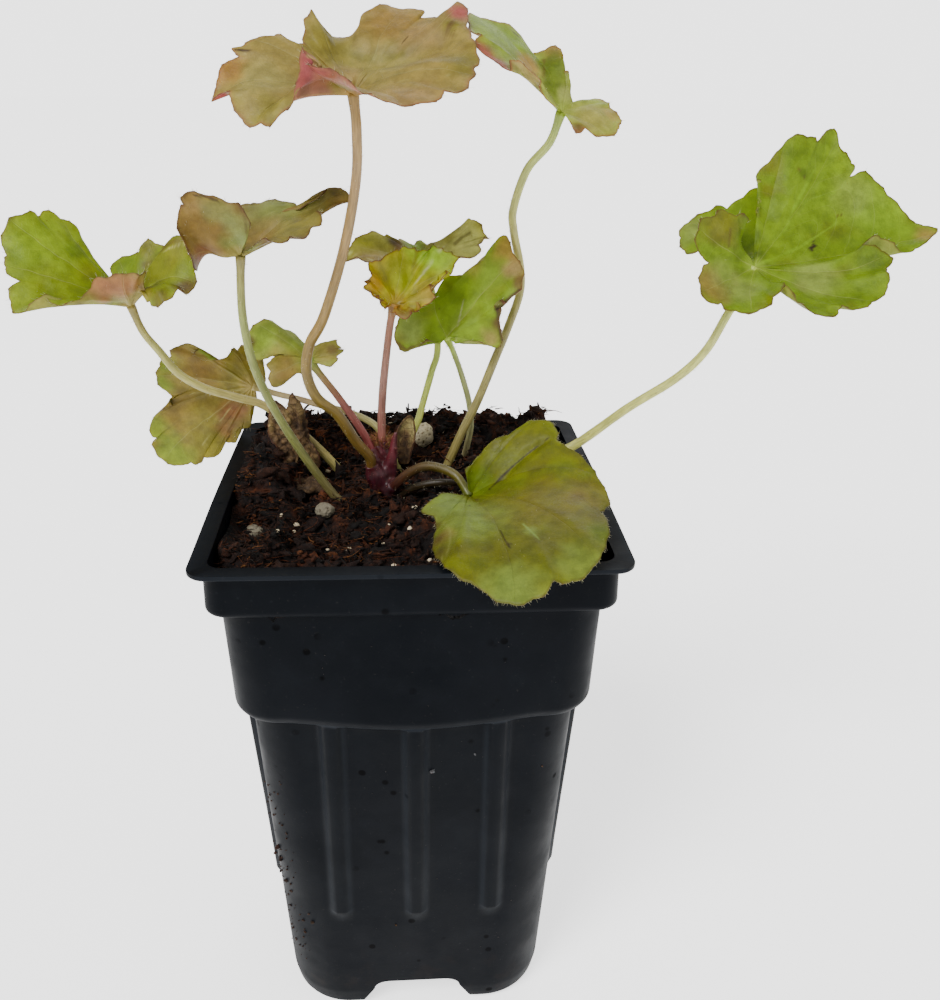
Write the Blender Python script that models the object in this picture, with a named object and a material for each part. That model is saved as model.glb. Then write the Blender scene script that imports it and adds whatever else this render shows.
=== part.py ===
"""Coral bells in a square nursery pot.

A young heuchera with eleven leaves stands in a deep, square, nine centimetre
pot of thin moulded plastic, filled with peat and perlite.  Every length below
is in millimetres, measured from the centre of the pot's rim: X to the right,
Y away from the front, Z up.  The last step turns millimetres into metres and
stands the whole thing over the origin.
"""
import math
import random

import bmesh
import bpy
import numpy as np
from mathutils.bvhtree import BVHTree
from mathutils import Vector, noise

MM = 0.001
GAP = 0.3               # clearance between neighbouring solids

# Pot
POT_HEIGHT = 134.6
WALL = 1.0              # thickness of the moulded wall
SIDE_STEPS = 6          # points along one side of the pot
CORNER_STEPS = 4        # points round one corner
LEDGE_Z = -11.2         # underside of the collar
BELT_Z = -39.5          # underside of the belt
BASE_ROOM = 9.0         # height of the channels between the feet
FLOOR_Z = -POT_HEIGHT + BASE_ROOM + 1.2
RIB_WIDTH = 5.6
RIB_PITCH = 18.3
RIB_FOOT_Z = -101.0
RIB_PROUD = (2.2, 1.5)  # how far a rib stands out, at the belt and at its foot
CHANNEL_WIDTH = (29.0, 19.0)   # of the arch between two feet, at its foot and at its top
DRAIN_RADIUS = 4.0
DRAIN_REACH = 17.0      # drain holes lie this far from the pot's axis

# Soil
SOIL_FRONT_Z = -8.0
SOIL_RISE = 13.0        # the back is mounded up this much
SOIL_RINGS = 6
SEED = 7

# Leaves and stalks
BLADE_THICKNESS = 0.7
EASING_ROUNDS = 14
BLADE_RINGS = (0.0, 0.4, 0.75, 1.0)
STALK_SIDES = 7
STALK_STEPS = 2
LONGEST_NECK = 4.0

# Outer profile of the pot, from the rim down: height, half width at a side's
# ends, corner radius, and how far the middle of a side is bowed out
POT_OUTSIDE = (
    (0.0, 45.0, 4.2, 0.3),
    (-1.2, 45.0, 4.2, 0.3),
    (-1.3, 42.4, 4.2, 0.3),
    (-10.2, 42.6, 4.4, 0.3),
    (LEDGE_Z, 41.9, 4.4, 0.3),
    (LEDGE_Z - 0.1, 40.6, 8.5, 0.4),
    (-24.0, 40.2, 9.2, 1.9),
    (-37.6, 39.8, 9.8, 3.7),
    (BELT_Z, 38.9, 9.8, 3.7),
    (BELT_Z - 0.3, 36.8, 9.8, 3.7),
    (-68.0, 35.6, 11.5, 2.4),
    (-98.0, 34.3, 13.5, 1.0),
    (-129.0, 32.9, 15.0, 0.0),
    (-133.2, 32.2, 15.0, 0.0),
    (-POT_HEIGHT, 30.6, 14.0, 0.0),
)
POT_INSIDE = (
    (0.0, 41.3, 3.2, 0.3),
    (LEDGE_Z + WALL, 41.5, 3.4, 0.3),
    (LEDGE_Z + WALL - 0.2, 39.6, 7.5, 0.4),
    (-24.0, 39.2, 8.2, 1.9),
    (BELT_Z + WALL, 38.7, 8.8, 3.7),
    (BELT_Z + WALL - 0.2, 35.8, 8.8, 3.7),
    (-68.0, 34.6, 10.5, 2.4),
    (-98.0, 33.3, 12.5, 1.0),
    (FLOOR_Z, 32.0, 14.0, 0.0),
)


class Leaf:
    """A blade: its seat, the arch of its ribs as a share of their reach, and its margin."""

    def __init__(self, seat, arch, margin):
        self.seat = seat
        self.arch = arch
        self.margin = margin


# Leaf blades.  Each has the seat where its stalk joins it, and the points of
# its margin measured from that seat, counter-clockwise seen from above.
# "S" is the bottom of a notch between two lobes, "L" a point on the round of
# a lobe, "E" an end of the margin at the basal cleft.
LEAVES = {
    "a": Leaf((-11, 0, 86), arch=0.1, margin=(
        ("E", -11, 5, 7.5), ("L", -13, 7, 10.5), ("L", -18.5, 8, 10), ("L", -23, 6, 8),
        ("S", -24.5, 4, 6), ("L", -27, 2, 2.5), ("L", -28, -1, -1.5), ("S", -23, -5, 1),
        ("L", -22.5, -8, -3), ("L", -19, -10, -5.5), ("L", -15, -11, -5.5, 0.35), ("L", -11, -11, -1.5, 0.4),
        ("L", -10, -9, 2.5, 0.3), ("S", -8, -8, 7), ("L", -2, -9, 4.5), ("L", 2.5, -13, 0.5),
        ("L", 8, -16, -1), ("L", 14, -16, -1), ("S", 18, -14, 0.5), ("L", 22.5, -12, 1),
        ("L", 25, -4, 6), ("S", 23.5, 6, 12), ("L", 23.5, 12, 16.5), ("L", 21.5, 15, 17),
        ("S", 18.5, 14, 14), ("L", 14.5, 18, 15.5), ("L", 10, 20, 16.5), ("L", 4.5, 19, 16.5),
        ("S", -0.5, 14, 11), ("L", -5, 13, 11.5), ("L", -8, 12, 15.5), ("L", -10, 10, 12.5),
        ("E", -10, 7, 8.5),
    )),
    "b": Leaf((33.5, 12, 82.5), arch=0.06, margin=(
        ("E", 3.5, -4, -2.5), ("L", 7, -5, -4.5), ("L", 11, -3, -4), ("S", 12.5, 0, -2.5),
        ("L", 13.5, 2, -0.5), ("L", 11, 6, 2), ("L", 8, 7, 2.5), ("L", 4, 6, 1),
        ("S", 2.5, 5, 4), ("L", 2, 6, 8), ("L", 1, 9, 11), ("S", 0.5, 10, 12),
        ("L", -2, 12, 13), ("L", -5.5, 13, 11.5), ("L", -8.5, 13, 16), ("L", -14, 11, 18.5),
        ("L", -20.5, 6, 19), ("L", -20, -2, 15.5), ("S", -17, -6, 14.5), ("L", -14.5, -8, 11.5),
        ("L", -12.5, -9, 8.5), ("S", -10.5, -7, 10), ("L", -5.5, -6, 7), ("L", -4.5, -6, 4),
        ("E", -2.5, -4, 1.5),
    )),
    "c": Leaf((78.5, 5, 50.5), arch=-0.1, margin=(
        ("E", 2.5, 17, 13), ("L", -5.5, 16, 10), ("L", -14, 12, 7), ("L", -15, 9, 3),
        ("S", -7.5, 4, 5.5), ("L", -5.5, 0, 11), ("L", -11.5, -2, 11.5), ("L", -15.5, -4, 8.5),
        ("L", -15, -5, 4.5), ("S", -12.5, -5, 2), ("L", -15, -8, 0), ("L", -15, -12, -4),
        ("S", -11.5, -13, -5.5), ("L", -9, -14, -7), ("L", -3, -15, -6.5), ("L", 1, -14, -4),
        ("S", 3.5, -10, -1.5), ("L", 5.5, -13, -5), ("L", 11.5, -14, -8), ("S", 16, -13, -7.5),
        ("L", 22, -11, -7), ("L", 27.5, -8, -3.5), ("S", 28.5, -6, -1), ("L", 29.5, -3, 2),
        ("L", 28, -1, 4), ("S", 24.5, 0, 5), ("L", 29, 2, 6.5), ("L", 35.5, 2, 3),
        ("L", 40.5, 3, 4.5), ("L", 44.5, 6, 7), ("L", 39.5, 10, 9.5), ("L", 33.5, 14, 15),
        ("S", 27, 16, 19), ("L", 24.5, 20, 24), ("L", 23.5, 24, 28.5), ("S", 18, 20, 26),
        ("L", 13.5, 20, 27), ("L", 8, 19, 23.5), ("L", 3.5, 17, 18.5), ("E", 3.5, 14, 14),
    )),
    "d": Leaf((13.5, -8, 0), arch=0.2, margin=(
        ("E", -3, -4, 1.5), ("L", -7.5, -8, 4), ("L", -11.5, -13, 2.5), ("S", -8.5, -18, 2),
        ("L", -9.5, -29, 1.5), ("L", -6.5, -39, 1.5), ("S", -3, -43, 0), ("L", 0.5, -46, -1),
        ("L", 5.5, -48, -1.5), ("L", 11, -47, 0), ("S", 13, -45, 2), ("L", 16.5, -44, 1),
        ("L", 21.5, -40, 2.5), ("L", 26, -31, 4), ("S", 25.5, -23, 6), ("L", 28.5, -17, 7),
        ("L", 26.5, -10, 10), ("L", 22.5, -3, 13), ("S", 19.5, 0, 14.5), ("L", 19, 4, 16.5),
        ("L", 15.5, 6, 16.5), ("L", 9, 5, 13.5), ("L", 3.5, 3, 10.5), ("E", 1.5, 1, 7),
    )),
    "e": Leaf((-63, 10, 40.5), arch=0.1, margin=(
        ("E", 8, 3, 9.5), ("L", 6.5, 6, 12.5), ("L", 3.5, 7, 13.5), ("S", 2, 6, 10.5),
        ("L", -2, 9, 10), ("L", -5, 8, 8), ("S", -5, 5, 6), ("L", -8.5, 4, 5.5),
        ("L", -11, 5, 11), ("L", -13, 6, 17), ("L", -16.5, 6, 19.5), ("S", -18.5, 4, 19),
        ("L", -22, 2, 19), ("L", -24.5, -2, 15.5), ("S", -23.5, -4, 12), ("L", -24, -6, 9),
        ("S", -21, -7, 7), ("L", -23, -9, 4), ("L", -21.5, -10, 1), ("L", -18.5, -10, 2.5),
        ("S", -15, -9, 4.5), ("L", -14, -10, 3), ("L", -10, -11, 3), ("S", -6, -9, 4.5),
        ("L", -4, -9, 8), ("L", 1.5, -10, 9), ("L", 5, -10, 8.5), ("S", 6, -7, 9),
        ("L", 6, -6, 5.5, 0.5), ("L", 7, -8, 2.5, 0.5), ("L", 10.5, -11, 2.5, 0.45), ("L", 14, -8, 5.5, 0.35),
        ("L", 15.5, -4, 9.5, 0.25), ("L", 13, 0, 13, 0.2), ("E", 10.5, 2, 13.5),
    )),
    "f": Leaf((-36, 0, 53.5), arch=0.05, margin=(
        ("E", 2.5, -3, 1.5), ("L", 6, -7, 4.5), ("L", 10, -10, 4.5), ("L", 14, -9, 5.5),
        ("L", 16.5, -6, 6), ("S", 17.5, -2, 8.5), ("L", 20.5, 1, 9.5), ("L", 23.5, 5, 11),
        ("L", 21.5, 6, 13), ("L", 18.5, 6, 13), ("S", 12.5, 5, 8.5), ("L", 11, 8, 9.5),
        ("L", 5, 10, 10.5), ("L", -1, 10, 9), ("L", -8, 8, 6), ("L", -11.5, 3, 2),
        ("L", -8.5, -3, -2), ("L", -9.5, -8, 2.5), ("L", -10.5, -9, 8.5), ("L", -9, -10, 13.5),
        ("L", -3, -10, 12.5), ("L", 2, -9, 11.5), ("L", 3.5, -7, 7.5), ("E", 1.5, -3, 2.5),
    )),
    "g": Leaf((-40.5, 32, 14.5), arch=0.08, margin=(
        ("E", 0.5, 0, -2.5), ("L", -0.5, 1, -7.5), ("L", -2.5, 3, -12.5), ("S", -6.5, 4, -14),
        ("L", -8, 5, -17), ("L", -11.5, 6, -21), ("L", -15, 6, -21.5), ("S", -16, 7, -23),
        ("L", -19.5, 7, -24), ("L", -24, 8, -25.5), ("L", -28, 8, -23.5), ("L", -29.5, 7, -18.5),
        ("S", -27.5, 6, -16.5), ("L", -29, 6, -13), ("L", -26.5, 5, -8.5), ("S", -21, 3, -4.5),
        ("L", -24, 2, -0.5), ("L", -23.5, 0, 5), ("S", -20, -1, 8), ("L", -19, -3, 10.5),
        ("L", -15.5, -3, 12), ("L", -13, -3, 11), ("S", -11.5, -2, 7), ("L", -7.5, -2, 7),
        ("L", -3.5, -1, 10), ("L", 3, 0, 7.5), ("E", 3.5, 0, 3),
    )),
    "h": Leaf((-24, 14, 26.5), arch=0.1, margin=(
        ("E", 2, -1, -1), ("L", 5, -2, -1), ("S", 6, -1, 0.5), ("L", 7.5, 0, 2),
        ("S", 6, 1, 2.5), ("L", 6, 2, 4), ("L", 3.5, 3, 3.5), ("S", 0.5, 3, 1.5),
        ("L", -1.5, 4, 2.5), ("L", -4.5, 6, 4.5), ("S", -8, 6, 6.5), ("L", -9, 7, 8),
        ("L", -12, 6, 7.5), ("L", -14, 4, 5.5), ("S", -11, 2, 1.5), ("L", -9, 2, 2),
        ("S", -6.5, 1, 0), ("L", -9.5, -2, -0.5), ("L", -9, -4, -3.5), ("L", -6.5, -4, -5),
        ("L", -3.5, -3, -3), ("E", -1.5, -1, -2),
    )),
    "i": Leaf((-3.5, 10, 41), arch=-0.12, margin=(
        ("E", 1.5, -2, -1), ("L", 3.5, -4, -2), ("S", 4.5, -3, -0.5), ("L", 7, -3, 0),
        ("L", 9.5, -2, 2.5), ("S", 8.5, -1, 4), ("L", 11.5, 0, 5.5), ("L", 15, 4, 10),
        ("S", 11, 5, 11), ("L", 8.5, 7, 12), ("S", 6.5, 6, 11), ("L", 4, 7, 11.5),
        ("L", 2, 7, 12.5), ("S", 1, 6, 11), ("L", -2, 4, 11), ("L", -5, 1, 10),
        ("S", -5, -1, 7.5), ("L", -6, -3, 5), ("S", -4.5, -3, 3.5), ("L", -3.5, -4, 1.5),
        ("E", -1.5, -3, -0.5),
    )),
    "j": Leaf((4, 24, 48), arch=0, margin=(
        ("E", 4, -2, 1), ("L", 7, -4, 2.5), ("L", 10, -4, 2), ("S", 12, -2, 4),
        ("L", 14.5, 0, 6.5), ("L", 10.5, 3, 9.5), ("L", 8.5, 4, 7), ("S", 2, 5, 3),
        ("L", -1, 7, 4), ("S", -3, 6, 3), ("L", -5, 6, 4), ("S", -7.5, 4, 4),
        ("L", -11, 5, 6), ("L", -15, 3, 6), ("L", -18, 0, 4), ("L", -18.5, -4, 1),
        ("S", -16, -5, 2), ("L", -12.5, -6, 1), ("L", -9.5, -5, 2), ("E", -5, -3, 0.5),
    )),
    "k": Leaf((9, 16, 31.5), arch=-0.06, margin=(
        ("E", 2, -1, -1.5), ("L", 6.5, -2, -0.5), ("L", 12, -3, -1), ("S", 13, -4, 1.5),
        ("L", 11.5, -3, 7.5), ("L", 16.5, -3, 12.5), ("L", 18, 0, 16), ("L", 16, 3, 20),
        ("L", 14, 4, 23), ("S", 11.5, 5, 20.5), ("L", 6.5, 5, 16.5), ("L", 0, 6, 13.5),
        ("L", -4, 4, 8.5), ("L", -11.5, 1, 5), ("L", -12.5, -2, 1), ("L", -10.5, -2, -2.5),
        ("L", -5.5, -1, -1), ("E", -1.5, -1, -1.5),
    )),
}

# Leaf stalks: diameter at the foot and at the blade, then points along them
STALKS = {
    "a": (2.6, 2.1, ((-8, 8.5, -3), (-9.5, 7.5, 1), (-10, 6.5, 4.5), (-13, 5, 9), (-17, 3, 16.5),
                     (-21.5, 2, 21), (-23.5, 2, 27), (-22.5, 2, 33.5), (-19, 2, 40), (-14, 1, 55),
                     (-11, 1, 69), (-10.5, 0, 79), (-11, 0, 86))),
    "b": (2.3, 1.8, ((7, 18, -9), (9, 18, -3.5), (13, 18.5, 6), (17, 19, 14.5), (21, 20, 24.5),
                     (24.5, 21.5, 33), (27, 22.5, 40.5), (27, 22.5, 46.5), (25, 21.5, 55.5),
                     (24.5, 19.5, 61), (27, 16.5, 70), (31.5, 14, 76), (33.5, 12, 82.5))),
    "c": (2.5, 1.9, ((16, 15, -10), (22, 15, -5), (31, 15.5, -0.5), (41, 16, 3), (53.5, 12, 14.5),
                     (64, 9, 23), (69.5, 6, 30.5), (73, 4.5, 39), (76.5, 4.5, 46.5), (78.5, 5, 50.5))),
    "d": (2.6, 2.1, ((-6, 9.5, -9), (-5.5, 8, -5.5), (-3.5, 5, -2), (-0.5, 3, 1.5), (3, 1, 4),
                     (6.5, -1, 4.5), (10.5, -4, 3.5), (13.5, -8, 0))),
    "e": (2.3, 1.7, ((-15, 16, -9), (-18, 16, -3), (-23, 16.5, 3), (-29.5, 17, 9), (-36, 16.5, 14.5),
                     (-42, 15, 17), (-49, 13, 20), (-54.5, 12, 24), (-58, 11, 29.5), (-61, 10, 34.5),
                     (-63, 10, 40.5))),
    "f": (2.2, 1.8, ((-14.5, 4.5, -13), (-17, 4, -6.5), (-19, 4, -4), (-24.5, 3, 5), (-30, 2, 15.5),
                     (-33.5, 1, 24), (-35.5, 0, 31.5), (-36.5, 0, 39.5), (-36.5, 0, 46), (-36, 0, 53.5))),
    "g": (1.9, 1.5, ((-2, 15, -9), (-3.5, 17, -2), (-6.5, 20, 4), (-9.5, 22, 7.5), (-15.5, 25, 9.5),
                     (-23, 28, 10.5), (-28.5, 30, 11.5), (-35, 32, 12.5), (-40.5, 32, 14.5))),
    "h": (2.1, 1.6, ((-7.5, 10.5, -1), (-9, 10.5, 3.5), (-11, 11, 8), (-14, 11.5, 13), (-17.5, 12.5, 18),
                     (-20.5, 13, 22), (-24, 14, 26.5))),
    "i": (2.1, 1.7, ((-7, 12.5, 1), (-7, 12.5, 6), (-7, 12, 12), (-6.5, 11, 20), (-5.5, 11, 28.5),
                     (-4.5, 10, 36), (-3.5, 10, 41))),
    "j": (1.9, 1.5, ((-2.5, 20, -8), (-2, 20, -2.5), (-1, 20, 2), (2, 21, 8.5), (3, 21.5, 12),
                     (5.5, 22, 21), (7, 22.5, 26.5), (6.5, 23.5, 36.5), (4, 24, 48))),
    "k": (1.7, 1.3, ((14, 23, -8), (14, 22.5, -2.5), (15.5, 22, 6), (15, 21.5, 13), (13, 20.5, 20.5),
                     (11, 18.5, 26.5), (9, 16, 31.5))),
    "stub": (2.0, 1.6, ((-4, 8, -8), (-1, 5.5, -4), (3, 3, -1.5), (7, 2, -0.5), (11, 2.5, -1))),
}

# The crown: tapered sheaths that clasp the feet of the stalks, each with its
# diameter at the foot and at the lip and its points
SHEATHS = (
    (9.0, 7.0, ((-6.5, 10, -22), (-6.5, 10, -12), (-6.5, 10, -3.5))),
    (6.5, 4.4, ((-6.5, 9.5, -6), (-8.3, 8.2, -1.5), (-9.6, 7.4, 2.2))),
    (6.0, 3.8, ((-6.8, 10, -5), (-8.2, 10.4, 0.5), (-9.8, 10.7, 5.2))),
    (6.0, 4.0, ((-6.8, 11, -5), (-7, 12.2, 1), (-7, 12.5, 6.5))),
    (5.0, 0.9, ((-6, 9.5, -4), (-4.6, 8.8, 3), (-3.4, 8.5, 10))),
    (6.0, 4.6, ((-6.2, 10, -8), (-5.4, 7.8, -5.2), (-4, 5.8, -2.6))),
)

# The withered leaf crumpled against the left rim, and its fallen half
DEAD_LEAVES = {
    "dead_leaf": Leaf((-26.5, 11, 5), arch=0.12, margin=(
        ("E", 5, 0.5, -7.5), ("L", 6.5, -1, -2), ("S", 3.5, 1, 2), ("L", 2, 1.5, 8), ("L", -2, 0, 14.5),
        ("S", -4, 1.5, 9), ("L", -8.5, 2, 12), ("L", -10.5, -1, 5), ("S", -7, -1.5, 1),
        ("L", -8.5, 1, -6.5), ("E", -3.5, 1.5, -8.5),
    )),
    "dead_leaf_half": Leaf((-29, 5, -4.5), arch=0.15, margin=(
        ("E", 3, -1, 0.5), ("L", 7.5, 1, 0), ("L", 8, 4, 2.5), ("S", 4, 4, 2), ("L", 0, 5, 2.5),
        ("L", -5, 3, 1), ("S", -4.5, 1, 0.5), ("L", -7, -2, 0.5), ("E", -2, -3, 0.5),
    )),
}
BRACT = Leaf((-1.5, 12.5, 0), arch=0.2, margin=(
    ("E", -1.2, -0.6, 0.5), ("L", -2.2, -0.8, 4), ("L", -1.8, -0.5, 9), ("L", 1.5, 0, 13),
    ("L", 2.6, -0.6, 9), ("L", 1.6, -1.2, 4), ("E", 0.8, -0.8, 0.5),
))

# Perlite grains: centre, half sizes
PERLITE = {
    "perlite_large": ((3.5, 27.5, 2.4), (2.6, 2.4, 3.0)),
    "perlite_front": ((-20.5, -3.0, -5.2), (2.2, 2.0, 1.6)),
    "perlite_left": ((-36.0, -11.0, -7.2), (2.4, 2.0, 1.8)),
}

# Materials: base colour and roughness
FINISHES = {
    "pot_plastic": ((0.020, 0.023, 0.028), 0.42),
    "peat": ((0.045, 0.022, 0.014), 0.95),
    "crown_magenta": ((0.30, 0.035, 0.075), 0.5),
    "stalk_green": ((0.48, 0.46, 0.17), 0.5),
    "stalk_tan": ((0.42, 0.27, 0.13), 0.5),
    "stalk_red": ((0.38, 0.12, 0.10), 0.5),
    "leaf_green": ((0.25, 0.33, 0.04), 0.5),
    "leaf_bronze": ((0.36, 0.24, 0.09), 0.5),
    "leaf_yellow": ((0.50, 0.42, 0.04), 0.5),
    "withered": ((0.16, 0.09, 0.045), 0.85),
    "perlite": ((0.70, 0.68, 0.62), 0.8),
}
BLADE_FINISH = {
    "a": "leaf_bronze", "b": "leaf_green", "c": "leaf_green", "d": "leaf_green",
    "e": "leaf_green", "f": "leaf_bronze", "g": "leaf_bronze", "h": "leaf_green",
    "i": "leaf_yellow", "j": "leaf_bronze", "k": "leaf_green",
}
STALK_FINISH = {
    "a": "stalk_tan", "b": "stalk_green", "c": "stalk_green", "d": "stalk_tan", "e": "stalk_green",
    "f": "stalk_green", "g": "stalk_green", "h": "stalk_red", "i": "stalk_red", "j": "stalk_green",
    "k": "stalk_green", "stub": "stalk_tan",
}


def clear_scene():
    """Remove whatever the file holds."""
    for obj in list(bpy.data.objects):
        bpy.data.objects.remove(obj, do_unlink=True)


def finish(name):
    """The named material, made on first use."""
    made = bpy.data.materials.get(name)
    if made:
        return made
    colour, roughness = FINISHES[name]
    made = bpy.data.materials.new(name)
    made.use_nodes = True
    shader = made.node_tree.nodes["Principled BSDF"]
    shader.inputs["Base Color"].default_value = (*colour, 1.0)
    shader.inputs["Roughness"].default_value = roughness
    made.diffuse_color = (*colour, 1.0)
    return made


def solid(name, points, faces, material, smooth=True):
    """One named object from points and faces."""
    mesh = bpy.data.meshes.new(name)
    mesh.from_pydata([tuple(p) for p in points], [], faces)
    mesh.update()
    mesh.materials.append(finish(material))
    if smooth:
        mesh.shade_smooth()
    obj = bpy.data.objects.new(name, mesh)
    bpy.context.scene.collection.objects.link(obj)
    return obj


def loft(rings, cap_first=True, cap_last=True):
    """Points and faces of a skin over closed rings of equal length, each square cut along its short diagonal."""
    count = len(rings[0])
    points = [p for ring in rings for p in ring]
    faces = []
    for low in range(len(rings) - 1):
        a, b = low * count, (low + 1) * count
        for i in range(count):
            j = (i + 1) % count
            if math.dist(points[a + i], points[b + j]) < math.dist(points[a + j], points[b + i]):
                faces += [(a + i, a + j, b + j), (a + i, b + j, b + i)]
            else:
                faces += [(a + i, a + j, b + i), (a + j, b + j, b + i)]
    if cap_first:
        faces.append(tuple(reversed(range(count))))
    if cap_last:
        last = (len(rings) - 1) * count
        faces.append(tuple(last + i for i in range(count)))
    return points, faces


def evaluated(obj):
    """Replace an object's mesh by what its modifiers make of it."""
    depsgraph = bpy.context.evaluated_depsgraph_get()
    mesh = bpy.data.meshes.new_from_object(obj.evaluated_get(depsgraph))
    obj.modifiers.clear()
    old = obj.data
    obj.data = mesh
    bpy.data.meshes.remove(old)


def combine(obj, others, operation, self_crossing=False):
    """Join others to obj, or cut them from it, and remove them."""
    group = bpy.data.collections.new("operands")
    for other in others:
        group.objects.link(other)
    step = obj.modifiers.new(operation.lower(), "BOOLEAN")
    step.operation = operation
    step.solver = "EXACT"
    step.use_self = self_crossing
    step.operand_type = "COLLECTION"
    step.collection = group
    evaluated(obj)
    for other in others:
        bpy.data.objects.remove(other, do_unlink=True)
    bpy.data.collections.remove(group)


def pot_ring(height, half, radius, bow):
    """Points round the pot at one height, counter-clockwise, from the right side."""
    side = []
    for i in range(SIDE_STEPS):
        t = -1.0 + 2.0 * i / SIDE_STEPS
        side.append((half + bow * (1.0 - t * t), t * (half - radius)))
    for i in range(CORNER_STEPS):
        turn = math.radians(90.0 * i / CORNER_STEPS)
        side.append((half - radius + radius * math.cos(turn), half - radius + radius * math.sin(turn)))
    ring = []
    for cos, sin in ((1, 0), (0, 1), (-1, 0), (0, -1)):
        ring += [(x * cos - y * sin, x * sin + y * cos, height) for x, y in side]
    return ring


def profile_at(profile, height):
    """Half width, corner radius and bow of a profile at a height between its rows."""
    rows = sorted(profile)
    heights = [row[0] for row in rows]
    return [float(np.interp(height, heights, [row[k] for row in rows])) for k in (1, 2, 3)]


def rib(u, turn):
    """One raised rib on the side that faces along turn, its middle at u across the side."""
    top = BELT_Z + 0.4
    outline = [(u - RIB_WIDTH / 2, top), (u + RIB_WIDTH / 2, top)]
    half_round = RIB_WIDTH / 2
    for i in range(7):
        angle = math.radians(-180.0 * i / 6)
        outline.append((u + half_round * math.cos(angle), RIB_FOOT_Z + half_round + half_round * math.sin(angle)))
    rings = []
    for share, proud in ((1.0, -0.6), (1.0, None), (0.62, None)):
        ring = []
        for x, z in outline:
            half, radius, bow = profile_at(POT_OUTSIDE, min(z, BELT_Z - 0.4))
            run = (BELT_Z - z) / (BELT_Z - RIB_FOOT_Z)
            stand = RIB_PROUD[0] + (RIB_PROUD[1] - RIB_PROUD[0]) * min(max(run, 0.0), 1.0)
            flat = half + bow * (1.0 - (u / (half - radius)) ** 2)
            depth = flat - 0.6 if proud else flat + stand * (0.35 if share == 1.0 else 1.0)
            across = u + (x - u) * share
            foot = RIB_FOOT_Z + half_round
            down = z if z >= foot else foot + (z - foot) * share
            ring.append((depth, across, down))
        rings.append(ring)
    cos, sin = math.cos(turn), math.sin(turn)
    rings = [[(x * cos - y * sin, x * sin + y * cos, z) for x, y, z in ring] for ring in rings]
    points, faces = loft(rings)
    return solid("rib", points, faces, "pot_plastic")


def channel(turn):
    """A cutter for the arched channel that runs between the feet, under the pot."""
    low, high = CHANNEL_WIDTH[0] / 2, CHANNEL_WIDTH[1] / 2
    foot, crest = -POT_HEIGHT - 1.0, -POT_HEIGHT + BASE_ROOM
    outline = ((-low - 0.8, foot), (low + 0.8, foot), (high + 1.5, crest - 2.0), (high - 0.5, crest - 0.4),
               (high - 2.5, crest), (2.5 - high, crest), (0.5 - high, crest - 0.4), (-high - 1.5, crest - 2.0))
    cos, sin = math.cos(turn), math.sin(turn)
    rings = [[(x * cos - y * sin, x * sin + y * cos, z) for x, z in outline] for y in (60.0, -60.0)]
    points, faces = loft(rings)
    return solid("channel", points, faces, "pot_plastic")


def rod(x, y, low, high, radius, sides=12):
    """An upright round cutter."""
    rings = []
    for z in (low, high):
        turns = [2 * math.pi * i / sides for i in range(sides)]
        rings.append([(x + radius * math.cos(t), y + radius * math.sin(t), z) for t in turns])
    points, faces = loft(rings)
    return solid("rod", points, faces, "pot_plastic")


def build_pot():
    """The thin moulded pot: flange, collar, belt, ribs, feet and drain holes."""
    rings = [pot_ring(*row) for row in reversed(POT_OUTSIDE)]
    rings += [pot_ring(*row) for row in POT_INSIDE]
    points, faces = loft(rings)
    pot = solid("pot", points, faces, "pot_plastic")
    ribs = []
    for side in range(4):
        for place in (-1, 0, 1):
            ribs.append(rib(place * RIB_PITCH, side * math.pi / 2))
    combine(pot, ribs, "UNION")
    combine(pot, [channel(0.0), channel(math.pi / 2)], "DIFFERENCE")
    holes = [(0, 0)] + [(x, 0) for x in (-DRAIN_REACH, DRAIN_REACH)] + [(0, y) for y in (-DRAIN_REACH, DRAIN_REACH)]
    combine(pot, [rod(x, y, -POT_HEIGHT - 1, FLOOR_Z + 2, DRAIN_RADIUS) for x, y in holes], "DIFFERENCE")
    return pot


def soil_height(x, y):
    """Height of the peat's surface: low at the front, mounded at the back, lumpy."""
    run = min(max((y + 30.0) / 68.0, 0.0), 1.0)
    base = SOIL_FRONT_Z + SOIL_RISE * run ** 2.6
    lumps = 1.1 * noise.noise(Vector((x, y, SEED * 3.0)) / 7.0) + 0.7 * noise.noise(Vector((x, y, SEED)) / 3.2)
    wall = max(abs(x), abs(y))
    slump = 3.2 * min(max((wall - 35.5) / 5.0, 0.0), 1.0) ** 1.5
    return max(base + lumps - slump, LEDGE_Z + WALL + GAP + 0.6)


def build_soil(rooted):
    """The peat that fills the pot, with a plain hole for everything that stands in it."""
    rings = []
    for z, half, radius, bow in reversed(POT_INSIDE[2:]):
        level = z + GAP
        rings.append(pot_ring(level, half - GAP, radius, bow))
    half, radius, bow = POT_INSIDE[1][1] - GAP, POT_INSIDE[1][2], POT_INSIDE[1][3]
    rings.append(pot_ring(LEDGE_Z + WALL + GAP, half, radius, bow))
    for k in range(SOIL_RINGS):
        share = 1.0 - k / SOIL_RINGS
        ring = [(x * share, y * share) for x, y, z in pot_ring(0.0, half, radius, bow)]
        rings.append([(x, y, soil_height(x, y)) for x, y in ring])
    points, faces = loft(rings, cap_last=False)
    middle = len(points)
    points.append((0.0, 0.0, soil_height(0.0, 0.0)))
    count = len(rings[0])
    last = middle - count
    for i in range(count):
        faces.append((last + i, last + (i + 1) % count, middle))
    soil = solid("soil", points, faces, "peat")
    for cutter in rooted:
        combine(soil, [cutter], "DIFFERENCE")
    return soil


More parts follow.
